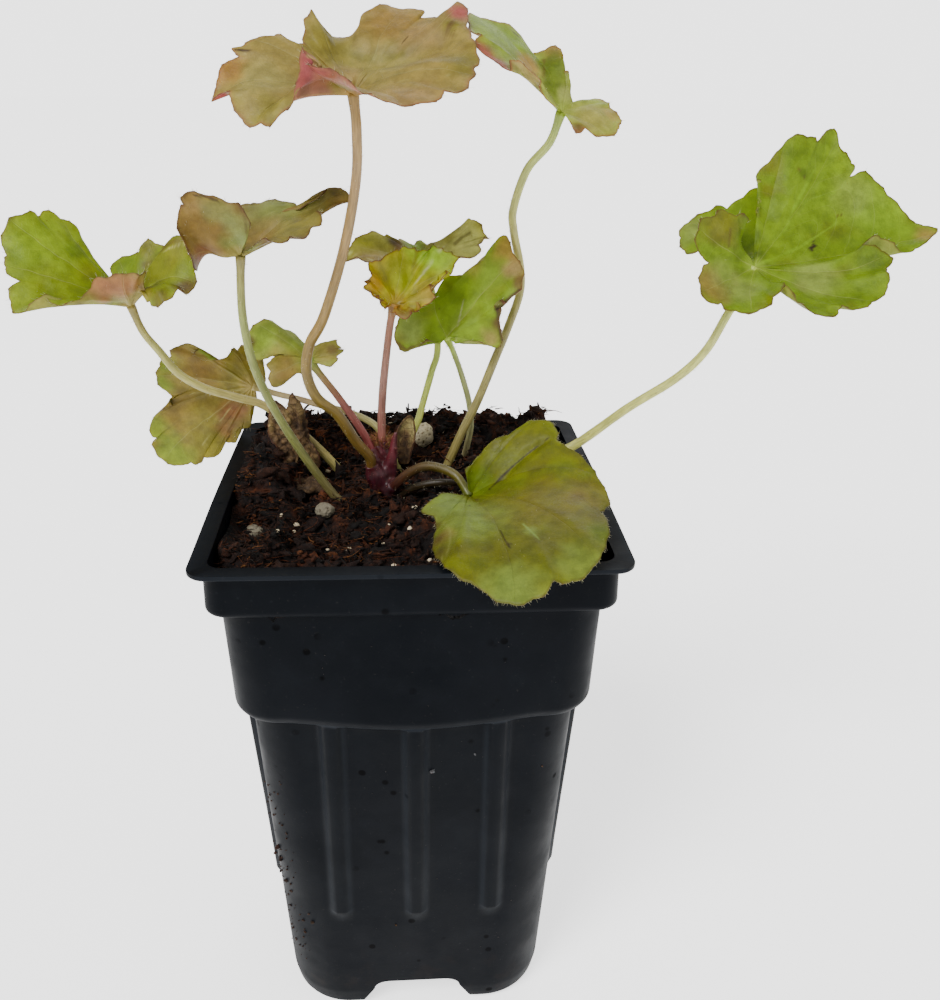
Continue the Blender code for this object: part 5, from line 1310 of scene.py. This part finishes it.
def clods(x, y):
    """Height of the clods, crumbs and pits of the peat's surface."""
    here = Vector((x, y, 0.0))
    broad = 2.8 * noise.noise(here / 6.5 + Vector((3, 1, 0))) - 4.4 * max(noise.noise(here / 4.4) - 0.12, 0)
    return broad + 2.2 * abs(noise.noise(here / 2.4)) + 1.1 * abs(noise.noise(here / 1.1)) - 1.3


def crumbly(x, y):
    """The surface with its clods, banked up against the left wall and at the back."""
    here = Vector((x, y, 0.0))
    reach = max(abs(x), abs(y))
    banked = 2.6 * float(smooth((reach - 30) / 9) * smooth((y + 14) / 18) * smooth((38 - x) / 9))
    left = float(smooth((-x - 24) / 10) * smooth((y + 40) / 12) * smooth((48 - y) / 12))
    height = soil_height(x, y) + clods(x, y) + banked * (0.6 + noise.noise(here / 5.0))
    height = min(height + left * (8.5 + 2 * noise.noise(here / 4.0)), 4.5 + 2 * noise.noise(here / 3.0))
    if x < -37:
        height = min(height, 0.8 + 0.8 * noise.noise(here / 2.0))
    for centre, half_sizes in PERLITE.values():
        off = math.hypot(x - centre[0], (y - centre[1]) * (1.0 if y > centre[1] else 0.4))
        height = min(height, centre[2] + 0.1 * half_sizes[2] + max(off - half_sizes[0], 0) * 0.9)
    return height


def build_soil():
    """The peat: a closed body under a crumbly surface."""
    turns = np.linspace(0, math.tau, SOIL_POINTS, endpoint=False)

    def ring_at(half, radius):
        c, s = np.cos(turns), np.sin(turns)
        reach = (np.abs(c) ** SQUARENESS + np.abs(s) ** SQUARENESS) ** (-1 / SQUARENESS)
        reach = np.minimum(reach, (half - radius + radius * DIAGONAL) / half * math.sqrt(2))
        return np.column_stack([half * reach * c, half * reach * s])

    rings = []
    for z, half, radius, _ in reversed(POT_INSIDE[2:]):
        rings.append(np.column_stack([ring_at(half - 0.2, radius), np.full(SOIL_POINTS, z + 0.2)]))
    _, half, radius, _ = POT_INSIDE[1]
    edge = ring_at(half - 0.15, radius)
    for share in (1.0, *np.linspace(0.985, 0.02, SOIL_RINGS)):
        flat = edge * share
        rings.append(np.array([(x, y, crumbly(x, y)) for x, y in flat]))
    points, faces = loft(rings)
    relief = np.array([clods(x, y) for x, y, _ in points])
    tint = np.tile(linear(PEAT_DARK), (len(points), 1))
    # Painted light: lighter brown on the crests of the clods, broken up by noise.
    paint(tint, smooth(0.5 * relief + 0.1 + 0.5 * noise_at(points, 6.0, 3.3)), (86, 48, 29))
    paint(tint, 0.8 * smooth(1.4 * noise_at(points, 3.0, 5.1) - 0.2), (110, 60, 34))
    # Painted shade: nearly black in the pits between the clods.
    paint(tint, smooth(-0.8 * relief - 0.1), (6, 4, 4))
    make("peat_bed", points, faces, MATERIALS["peat"], ("soil",), slot="peat", colours=tint)


def turned(points, turns):
    """Points turned by each angle about its axis, the last turn first."""
    whole = Matrix.Identity(3)
    for angle, axis in turns:
        whole = whole @ Matrix.Rotation(angle, 3, axis)
    return points @ np.array(whole).T


def lump(draw, size, flat, long, rough, detail):
    """Points and faces of an irregular crumb about the origin."""
    points, faces = LUMPS[detail]
    shape = points * np.array((size * long, size, size * flat))
    seed = draw.uniform(0, 90)
    bumps = noise_at(points, 0.9, seed)
    shape = shape * (1 + rough * 1.6 * bumps)[:, None]
    turns = ((draw.uniform(0, math.tau), "Z"), (draw.gauss(0, 0.5), "X"), (draw.gauss(0, 0.5), "Y"))
    return turned(shape, turns), faces


def icosphere(detail):
    """Points and faces of a ball of radius one."""
    bm = bmesh.new()
    bmesh.ops.create_icosphere(bm, subdivisions=detail, radius=1.0)
    points = np.array([v.co for v in bm.verts])
    faces = [tuple(v.index for v in face.verts) for face in bm.faces]
    bm.free()
    return points, faces


def redness(x, y):
    """Where the peat is reddish and fibrous, from 0 to 1."""
    return float(smooth(0.25 + 1.6 * noise.noise(Vector((x, y, 40.0)) / 8.0)))


def past_corner(x, y):
    """How far a place lies outside the middle square of the peat."""
    return math.hypot(max(abs(x) - CORNER_START, 0), max(abs(y) - CORNER_START, 0))


def inside(draw, reach):
    """A random place on the peat."""
    while True:
        x, y = draw.uniform(-reach, reach), draw.uniform(-reach, reach)
        if past_corner(x, y) < reach - CORNER_START:
            return x, y


def on_peat(pixel):
    """The place on the peat that is seen at a pixel of the photograph."""
    way, z = ray(pixel), SOIL_FRONT_Z
    for _ in range(8):
        x, y, _ = EYE + way * (z - EYE[2]) / way[2]
        z = soil_height(x, y)
    return x, y


def build_crumbs():
    """Crumbs, bark flakes and matted fibres that lie on the peat."""
    draw = random.Random(CRUMB_SEED)
    heap = Heap()
    shades = (PEAT_DARK, PEAT_BLACK, (64, 35, 22), (94, 52, 31), (42, 24, 16))
    for _ in range(CRUMBS):
        x, y = inside(draw, CRUMB_REACH)
        size = min(draw.lognormvariate(-0.5, 0.5), 1.9)
        detail = 1 if size < 0.9 else 2
        points, faces = lump(draw, size, draw.uniform(0.5, 0.95), draw.uniform(1, 2.2), 0.75, detail)
        # Painted light and shade: crumbs high on the clods take lighter shades, those in the hollows more
        # black.
        high = smooth(0.5 + 0.4 * clods(x, y))
        shade = draw.choices(shades, (5, 5 - 3 * high, 1 + 6 * high, 4 * high * redness(x, y), 4))[0]
        heap.add(points + (x, y, crumbly(x, y) + 0.25 * size), faces, linear(shade))
    heap.make("peat_crumbs", MATERIALS["peat"], slot="peat")
    mats = [on_peat(pixel) for pixel in PEAT_MATS] + [inside(draw, BIT_REACH) for _ in range(MORE_MATS)]
    mats = [(x, y, draw.uniform(1.6, 4.2), draw.random()) for x, y in mats]
    flakes, fibres = Heap(), Heap()
    for _ in range(SCRAPS):
        x, y = inside(draw, SCRAP_REACH)
        warm, matted = redness(x, y), draw.random() < 0.5
        if matted:
            cx, cy, wide, warm = mats[draw.randrange(len(mats))]
            x, y = cx + draw.gauss(0, wide), cy + draw.gauss(0, wide * 0.7)
        if past_corner(x, y) > SCRAP_REACH - CORNER_START:
            continue
        base = crumbly(x, y) + (draw.uniform(0, 1.6) if matted else draw.uniform(0.05, 0.7))
        if draw.random() < FLAKE_SHARE:
            add_flake(draw, flakes, (x, y, base + 0.2), warm)
        else:
            add_fibre(draw, fibres, (x, y, base), warm)
    flakes.make("peat_flakes", MATERIALS["peat"], slot="peat")
    fibres.make("peat_fibres", MATERIALS["peat"], slot="peat")
    bits = Heap()
    for _ in range(BITS):
        x, y = inside(draw, BIT_REACH)
        points, faces = lump(draw, draw.uniform(0.3, 0.75), 0.8, 1.2, 0.3, 2)
        bits.add(points + (x, y, crumbly(x, y) + 0.5), faces, 1.6 * linear((206, 192, 166)))
    bits.make("perlite_bits", MATERIALS["perlite"], slot="perlite")


def add_flake(draw, heap, place, warm):
    """One thin chip of bark."""
    long, wide, thick = draw.uniform(1.0, 3.8), draw.uniform(0.3, 1.2), draw.uniform(0.12, 0.35)
    corners = []
    for sx in (-1, -0.3, 0.4, 1):
        for sy, sz in ((-1, -1), (1, -1), (1, 1), (-1, 1)):
            taper = 1 - 0.6 * sx * sx
            corners.append((sx * long / 2, (sy * wide * taper + draw.uniform(-0.3, 0.3) * wide) / 2,
                            sz * thick / 2 + 0.25 * math.sin(sx * 2 + place[0])))
    points, faces = loft([corners[i:i + 4] for i in range(0, 16, 4)])
    turns = ((draw.uniform(0, math.tau), "Z"), (draw.gauss(0, 0.6), "Y"), (draw.uniform(0, math.tau), "X"))
    shades = ((11, 6, 4), (27, 15, 10), (54, 30, 18), (84, 50, 30), (128, 90, 56))
    shade = draw.choices(shades, (6, 6, 2 + 3 * warm, 0.6 + 1.5 * warm, 0.3))[0]
    heap.add(turned(points, turns) + place, faces, linear(shade))


def add_fibre(draw, heap, place, warm):
    """One bent fibre of peat."""
    x, y, start = place
    length = draw.uniform(0.9, 3.4) if draw.random() < 0.9 else draw.uniform(4, 8)
    heading, climb = draw.uniform(0, math.tau), draw.gauss(0.05, 0.3)
    spine = []
    for t in (0, 0.34, 0.67, 1):
        spine.append((x, y, start + climb * length * t * (1 - 0.5 * t) + 0.25 * draw.random()))
        heading += draw.gauss(0, 0.6)
        x += length / 3 * math.cos(heading)
        y += length / 3 * math.sin(heading)
    width = draw.uniform(0.07, 0.2)
    if max(max(abs(px), abs(py)) for px, py, _ in spine) < FIBRE_REACH:
        path = curve_through(spine, 1 if length < 4 else 3)
        points, faces = tube(path, width * (1 - 0.7 * np.linspace(0, 1, len(path)) ** 2), 3)
        shades = ((78, 43, 26), (52, 30, 19), (120, 80, 50), (23, 14, 9))
        heap.add(points, faces, linear(draw.choices(shades, (2 + 4 * warm, 5, 1 + warm, 4))[0]))


def build_perlite():
    """The larger perlite grains, pitted like foam."""
    for name, (centre, half_sizes) in PERLITE.items():
        points, faces = icosphere(PERLITE_DETAIL)
        dents = noise_at(points, 0.75, centre[0]) * 0.2 + noise_at(points, 0.28, centre[1]) * 0.07
        pits = np.maximum(noise_at(points, 0.2, centre[0] + 4) - 0.28, 0) * 0.35
        grain = points * (1 + dents - pits)[:, None] * np.array(half_sizes) * 1.06 + np.array(centre)
        tint = np.tile(linear((206, 196, 170)), (len(points), 1))
        paint(tint, smooth(pits * 14), (112, 96, 72))
        paint(tint, 0.5 * smooth(noise_at(points, 0.7, 9.0)), (182, 166, 132))
        tint *= 1.25 if name == "perlite_large" else 0.4
        make(name + "_grain", grain, faces, MATERIALS["perlite"], (name,), slot="perlite", colours=tint)


def build_crown():
    """The fleshy magenta crown: sheaths grown together, with fuzzy lips."""
    bm = bmesh.new()
    for first, last, keys in SHEATHS:
        path = curve_through(keys, 8)
        share = np.linspace(0, 1, len(path))
        radii = (first + (last - first) * share) / 2
        if 1 < last < 6:
            radii = radii * (1 - 0.3 * smooth((share - 0.55) / 0.45))
        points, faces = tube(path, radii, SHEATH_SIDES)
        verts = [bm.verts.new(p) for p in points]
        for face in faces:
            bm.faces.new([verts[i] for i in face])
    mesh = bpy.data.meshes.new("crown_mix")
    bm.to_mesh(mesh)
    bm.free()
    obj = placed("crown_mix", mesh)
    step = obj.modifiers.new("grow_together", "REMESH")
    step.mode = "VOXEL"
    step.voxel_size = CROWN_VOXEL
    ease = obj.modifiers.new("ease", "SMOOTH")
    ease.factor, ease.iterations = 0.5, 5
    points, faces = unpacked(modified(obj))
    bpy.data.objects.remove(obj)
    away = points[:, :2] - CROWN_AXIS
    folds = 0.22 * np.sin(7 * np.arctan2(away[:, 1], away[:, 0]) + 0.25 * points[:, 2])
    folds += 0.18 * noise_at(points, 1.6, 2.0)
    points[:, :2] += unit(away) * folds[:, None]
    tint = np.tile(linear((84, 24, 38)), (len(points), 1))
    paint(tint, smooth((points[:, 2] + 1) / 8) * 0.8, (142, 56, 66))
    # Painted shade: darker towards the bottom, down among the stalks' feet in the pot.
    paint(tint, smooth((-1.5 - points[:, 2]) / 5) * 0.9, (32, 13, 15))
    paint(tint, 0.4 * smooth(noise_at(points, 2.4, 6.0) * 1.6), (104, 48, 40))
    # The whole crown is darkened, partly its own deep colour and partly painted shade of its place low in the
    # pot.
    tint *= 0.55
    make("crown_sheaths", points, faces, MATERIALS["crown"], ("crown",), slot="crown_magenta", colours=tint)
    draw = random.Random(CROWN_SEED)
    fuzz = Heap()
    for _ in range(LIP_HAIRS):
        turn = draw.uniform(0, math.tau)
        reach = draw.uniform(1.0, 2.6)
        cos, sin = math.cos(turn), math.sin(turn)
        root = np.array((-7 + reach * cos, 12.3 + reach * sin * 0.8, draw.uniform(4.5, 7.5)))
        lean = (cos + draw.uniform(-0.6, 0.6), sin + draw.uniform(-0.6, 0.6), 1.0)
        shade = (176, 132, 84) if draw.random() < 0.7 else (196, 120, 104)
        fuzz.add(*hair(root, lean, draw.uniform(0.7, 2.0), 0.13, draw), linear(shade))
    for _ in range(SIDE_HAIRS):
        pick = points[draw.randrange(len(points))]
        if pick[2] > -4:
            east, north = pick[:2] - CROWN_AXIS
            lean = (east + draw.uniform(-1, 1), north + draw.uniform(-1, 1), 1.2)
            fuzz.add(*hair(pick, lean, draw.uniform(0.4, 1.0), 0.08, draw), linear((206, 150, 130)))
    fuzz.make("crown_fuzz", MATERIALS["hair"], slot="crown_magenta")


def build_withered():
    """The crumpled dead leaf, its fallen half and the bract beside the crown."""
    for name, leaf in list(DEAD_LEAVES.items()) + [("bract", BRACT)]:
        sheet = Sheet(leaf, 0.5, 0.5)
        count = sheet.points.shape[1]
        flat = sheet.points.reshape(-1, 3)
        shares = np.repeat(sheet.shares, count)
        crumple = 0.25 if name == "bract" else 1.0
        if name == "dead_leaf":
            middle = flat[:, 0].mean()
            flat[:, 0] = middle + 0.72 * (flat[:, 0] - middle)
        folds = 1.5 * noise_at(flat * (1, 1, 0.35), 2.2, 4.0) + 0.55 * noise_at(flat, 1.1, 6.0)
        ragged = noise_at(flat, 1.7, 12.0)
        swell = crumple * folds * smooth(shares * 4)
        sheet.points += sheet.normals() * swell.reshape(-1, count)[:, :, None]
        torn = 0.8 * crumple * np.abs(ragged.reshape(-1, count)[-3:])
        sheet.points[-3:] -= torn[:, :, None] * sheet.outward
        way = sheet.normals() * 0.17
        points = np.vstack([(sheet.points + way).reshape(-1, 3), (sheet.points - way).reshape(-1, 3)])
        faces = shell_faces(len(sheet.shares), count)
        # The colour follows the crumples: a painted highlight on their crests and painted shade in their
        # hollows.
        crest = {"dead_leaf": (150, 132, 88), "bract": (206, 194, 136)}.get(name, (64, 50, 36))
        tint = np.tile(linear((96, 76, 54)), (len(points), 1))
        twice = np.tile(folds, 2)
        paint(tint, 0.7 * smooth(0.1 + 0.6 * twice), crest)
        paint(tint, 0.9 * smooth(-1.2 * twice), (40, 28, 22))
        rim = np.tile(shares, 2)
        paint(tint, 0.7 * smooth((rim - 0.9) / 0.1), (70, 36, 26))
        tint *= {"dead_leaf": 1.35, "bract": 1.2}.get(name, 0.75)
        piece = make(name + "_skin", points, faces, MATERIALS["withered"], (name,), "withered", tint)
        weld(piece)


def shell_faces(rows, count):
    """Faces of a closed thin shell over a grid of rows whose first row is one point."""
    faces = []
    half = rows * count
    for r in range(rows - 1):
        for c in range(count - 1):
            a, d = r * count + c, (r + 1) * count + c
            b, e = a + 1, d + 1
            faces.append((a, d, e, b) if r else (a, d, e))
            faces.append((half + b, half + e, half + d, half + a) if r else (half + e, half + d, half + a))
    last = (rows - 1) * count
    for c in range(count - 1):
        faces.append((last + c, half + last + c, half + last + c + 1, last + c + 1))
    for r in range(rows - 1):
        a, d = r * count, (r + 1) * count
        faces.append((a, half + a, half + d, d))
        a, d = a + count - 1, d + count - 1
        faces.append((a, d, half + d, half + a))
    return faces


def build_dirt(wall):
    """Crumbs and flecks that stick to the outside of the pot."""
    draw = random.Random(DIRT_SEED)
    heap = Heap()
    specks = list(POT_SPECKS)
    for _ in range(SPLASHES):
        down = draw.random()
        pixel = (262 + 34 * down + abs(draw.gauss(0, 9)), 780 + 180 * down)
        specks.append((pixel, draw.uniform(0.12, 0.34), (78, 56, 42)))
    for _ in range(DOTS):
        pixel = (draw.uniform(300, 560), draw.uniform(600, 960))
        specks.append((pixel, draw.uniform(0.06, 0.14), (84, 80, 76)))
    for pixel, size, shade in specks:
        hit, normal, _, _ = wall.ray_cast(Vector(EYE), Vector(ray(pixel)))
        if hit is not None:
            points, faces = lump(draw, size, 0.6, 1.3, 0.4, 1)
            heap.add(points + np.array(hit) + np.array(normal) * size * 0.2, faces, 0.45 * linear(shade))
    heap.make("pot_dirt", MATERIALS["peat"], slot="peat")


def leaf_skin():
    """Leaf tissue: the painted tint with thin veins, soft blotches, specks and a soft sheen."""
    g = Graph("leaf_skin", {"Roughness": 0.5, "Subsurface Weight": 0.12, "Subsurface Scale": 0.0012,
                            "Subsurface Radius": (1.0, 1.0, 0.35), "Specular IOR Level": 0.22})
    tint = g.clouded(g.noise(3.4, 5.0, 0.65), 0.74, 1.2)
    grain = g.noise(0.35, 3.0)
    net = g.below(g.cells(1.1, "DISTANCE_TO_EDGE", vector=g.bent(1.0, 0.8)), 0.0, 0.14)
    tint = g.mix(tint, g.mix(tint, (0.78, 0.76, 0.66, 1), 1.0, "MULTIPLY"), g.times(net, 0.22))
    rib = g.below(g.maths("ABSOLUTE", g.attribute("rib")), 0.03, 0.16)
    twig = g.spread(g.maths("PINGPONG", g.attribute("twig"), 0.5), 0.01, 0.035, 0.3, 0.0)
    lines = g.maths("MAXIMUM", rib, twig)
    strength = g.attribute("vein")
    pale = g.times(lines, g.maths("MAXIMUM", strength, 0.0))
    dark = g.times(lines, g.maths("MAXIMUM", g.times(strength, -1.0), 0.0))
    tint = g.mix(tint, rgba((206, 204, 140)), pale)
    tint = g.mix(tint, rgba((70, 50, 26)), dark)
    specks = g.spread(g.noise(1.1, 2.0), 0.70, 0.78)
    tint = g.lay(tint, (92, 66, 36), specks, 0.5)
    g.bump(grain, 0.08, 0.5)
    g.bump(lines, -0.08, 0.6)
    g.bump(g.noise(1.6, 3.0), 0.3, 0.4)
    return g.paint(tint, g.spread(grain, 0.3, 0.7, 0.42, 0.64))


def stalk_skin():
    """Stalk tissue: long pale and dark streaks over the painted tint."""
    g = Graph("stalk_skin", {"Roughness": 0.45, "Subsurface Weight": 0.15, "Subsurface Scale": 0.0015,
                             "Subsurface Radius": (1.0, 0.8, 0.4)})
    turn = g.times(g.attribute("round"), math.tau)
    along = g.times(g.attribute("along"), 0.09)
    lie = g.node("CombineXYZ", {0: g.maths("COSINE", turn), 1: g.maths("SINE", turn), 2: along}).outputs[0]
    streak = g.node("TexNoise", {"Vector": lie, "Scale": 3.2, "Detail": 3.0}).outputs[0]
    tint = g.clouded(streak, 0.8, 1.16, 0.35, 0.65)
    specks = g.spread(g.noise(0.9, 2.0), 0.68, 0.76)
    tint = g.lay(tint, (92, 52, 38), specks, 0.6)
    g.bump(streak, 0.12, 0.7)
    g.bump(g.noise(0.35, 2.0), 0.05, 0.5)
    return g.paint(tint, g.spread(g.noise(1.5), 0.3, 0.7, 0.36, 0.58))


def pot_plastic():
    """Moulded blue-black plastic with a dull bloom, water spots, dust, splashed soil and a painted highlight
    on its edges and rib flanks.
    """
    g = Graph("pot_plastic_painted_highlight", {"Roughness": 0.4, "Specular IOR Level": 0.045})
    cloud = g.noise(26.0, 4.0)
    base = g.mix(rgba((7, 10, 15)), rgba((11, 14, 19)), g.spread(cloud, 0.3, 0.7))
    bloom = g.spread(g.noise(7.0, 5.0), 0.45, 0.75)
    base = g.lay(base, (20, 23, 28), bloom, 0.3)
    cell = g.cells(5.2)
    pick = g.spread(g.noise(15.0, 1.0), 0.5, 0.62)
    spots = g.times(g.below(cell, 0.12, 0.2), pick)
    base = g.lay(base, (1, 1, 2), spots, 0.9)
    small = g.times(g.below(g.cells(2.3), 0.09, 0.15), g.spread(g.noise(9.0), 0.5, 0.6))
    base = g.lay(base, (34, 37, 40), small, 0.3)
    dust = g.spread(g.noise(0.8, 5.0), 0.64, 0.74)
    base = g.lay(base, (80, 77, 74), dust, 0.16)
    top = g.node("SeparateXYZ", {0: g.place}).outputs[2]
    low_soil = g.times(g.below(top, 0.0, 0.03), g.spread(g.noise(5.0, 5.0), 0.5, 0.7))
    base = g.lay(base, (36, 30, 27), low_soil, 0.4)
    rough = g.maths("ADD", g.spread(g.noise(11.0, 5.0), 0.3, 0.7, 0.42, 0.56), g.times(spots, 0.25))
    # Painted highlight along the belt's lip, the flange and the ribs' flanks.
    base = g.lay(base, (40, 44, 50), g.attribute("painted_highlight"), 0.55)
    g.bump(g.noise(0.5, 3.0), 0.035, 0.5)
    g.bump(g.noise(9.0, 2.0), 0.25, 0.35)
    return g.paint(base, rough)


def peat_matter():
    """Moist peat: the painted tint broken up by dark pits and reddish fibre."""
    g = Graph("peat_matter", {"Roughness": 0.9, "Specular IOR Level": 0.25})
    tint = g.clouded(g.noise(0.7, 5.0), 0.5, 1.7)
    bent = g.bent(0.8, 1.6)
    fibre = g.below(g.cells(0.7, "DISTANCE_TO_EDGE", vector=bent), 0.0, 0.12)
    patch = g.spread(g.noise(4.0, 3.0), 0.5, 0.65)
    tint = g.lay(tint, (84, 44, 26), g.times(fibre, patch), 0.5)
    g.bump(g.noise(0.5, 5.0), 0.3, 0.8)
    g.bump(fibre, 0.15, 0.7)
    return g.paint(tint, g.spread(g.noise(1.8), 0.3, 0.7, 0.72, 0.98))


def perlite_matter():
    """Off-white foamed glass with pits."""
    g = Graph("perlite_matter", {"Roughness": 0.85})
    tint = g.clouded(g.noise(0.9, 4.0), 0.86, 1.1)
    pits = g.below(g.cells(0.55), 0.05, 0.22)
    tint = g.lay(tint, (130, 116, 94), pits, 0.5)
    g.bump(g.maths("SUBTRACT", g.noise(0.6, 3.0), pits), 0.25, 0.8)
    return g.paint(tint)


def crown_flesh():
    """Fleshy magenta sheaths, streaked lengthwise."""
    g = Graph("crown_flesh", {"Roughness": 0.42, "Subsurface Weight": 0.15, "Subsurface Scale": 0.0015,
                              "Subsurface Radius": (1.0, 0.3, 0.3)})
    lie = g.node("Mapping", {0: g.place, 3: (1.0, 1.0, 0.18)}).outputs[0]
    tint = g.clouded(g.noise(0.8, 3.0, vector=lie), 0.72, 1.25)
    g.bump(g.noise(0.7, 3.0, vector=lie), 0.2, 0.7)
    return g.paint(tint, g.spread(g.noise(1.5), 0.3, 0.7, 0.36, 0.6))


def withered_leaf():
    """Brown papery dead leaf with a raised vein net."""
    g = Graph("withered_leaf", {"Roughness": 0.8, "Specular IOR Level": 0.3})
    tint = g.clouded(g.noise(1.1, 5.0), 0.6, 1.35)
    lines = g.below(g.cells(1.6, "DISTANCE_TO_EDGE"), 0.0, 0.1)
    tint = g.lay(tint, (52, 32, 22), lines, 0.45)
    g.bump(lines, 0.15, 0.8)
    g.bump(g.noise(0.5, 4.0), 0.15, 0.6)
    return g.paint(tint, g.spread(g.noise(0.9), 0.3, 0.7, 0.62, 0.92))


def plant_hair():
    """Fine pale hairs."""
    g = Graph("plant_hair", {"Roughness": 0.6})
    return g.paint(g.clouded(g.noise(2.0), 0.9, 1.05))


def pale_floor():
    """The plain pale studio floor."""
    g = Graph("pale_floor", {"Roughness": 0.9, "Specular IOR Level": 0.1, "Emission Strength": FLOOR_GLOW,
                             "Emission Color": (1.0, 1.0, 1.0, 1.0)})
    return g.paint((0.93, 0.93, 0.93, 1.0))


def build_studio():
    """Floor, soft lights and the photograph's camera."""
    corners = [(FLOOR_HALF * x, FLOOR_HALF * y, 0) for x, y in ((-1, -1), (1, -1), (1, 1), (-1, 1))]
    floor = meshed("floor", corners, [(0, 1, 2, 3)])
    floor.data.materials.append(pale_floor())
    floor.location.z = -FLOOR_DROP
    world = bpy.data.worlds.new("studio")
    world.use_nodes = True
    tree = world.node_tree
    sky = tree.nodes["Background"]
    sky.inputs["Color"].default_value = (1, 1, 1, 1)
    seen = tree.nodes.new("ShaderNodeLightPath").outputs["Is Camera Ray"]
    strength = tree.nodes.new("ShaderNodeMapRange")
    strength.inputs["To Min"].default_value = SKY_LIGHT
    strength.inputs["To Max"].default_value = BACKDROP
    tree.links.new(seen, strength.inputs["Value"])
    tree.links.new(strength.outputs[0], sky.inputs["Strength"])
    bpy.context.scene.world = world
    for name, side, spread, power in SUNS:
        lamp = bpy.data.lights.new(name, "SUN")
        lamp.angle = math.radians(spread)
        lamp.energy = power
        placed(name, lamp).rotation_euler = Vector(side).to_track_quat("Z", "Y").to_euler()
    lens = bpy.data.cameras.new("camera")
    lens.lens = FOCAL_PX * SENSOR / max(FRAME_PX)
    lens.sensor_width = SENSOR
    lens.clip_start, lens.clip_end = 0.01, 50
    camera = placed("camera", lens)
    turn = Matrix((RIGHT, UPWARD, -FORWARD)).transposed()
    camera.matrix_world = Matrix.Translation(Vector(EYE * MM + RIM)) @ turn.to_4x4()
    bpy.context.scene.camera = camera


LUMPS = {1: icosphere(1), 2: icosphere(2)}
MATERIALS = {
    "leaf": leaf_skin(), "stalk": stalk_skin(), "pot": pot_plastic(), "peat": peat_matter(),
    "perlite": perlite_matter(), "crown": crown_flesh(), "withered": withered_leaf(), "hair": plant_hair(),
}

build_studio()
pot_wall = build_pot()
build_soil()
build_crumbs()
build_perlite()
build_crown()
build_withered()
build_dirt(pot_wall)
for each in LEAVES:
    leaf_blade(each)
for each in STALKS:
    stalk(each, "short_stalk" if each == "stub" else "stalk_" + each)
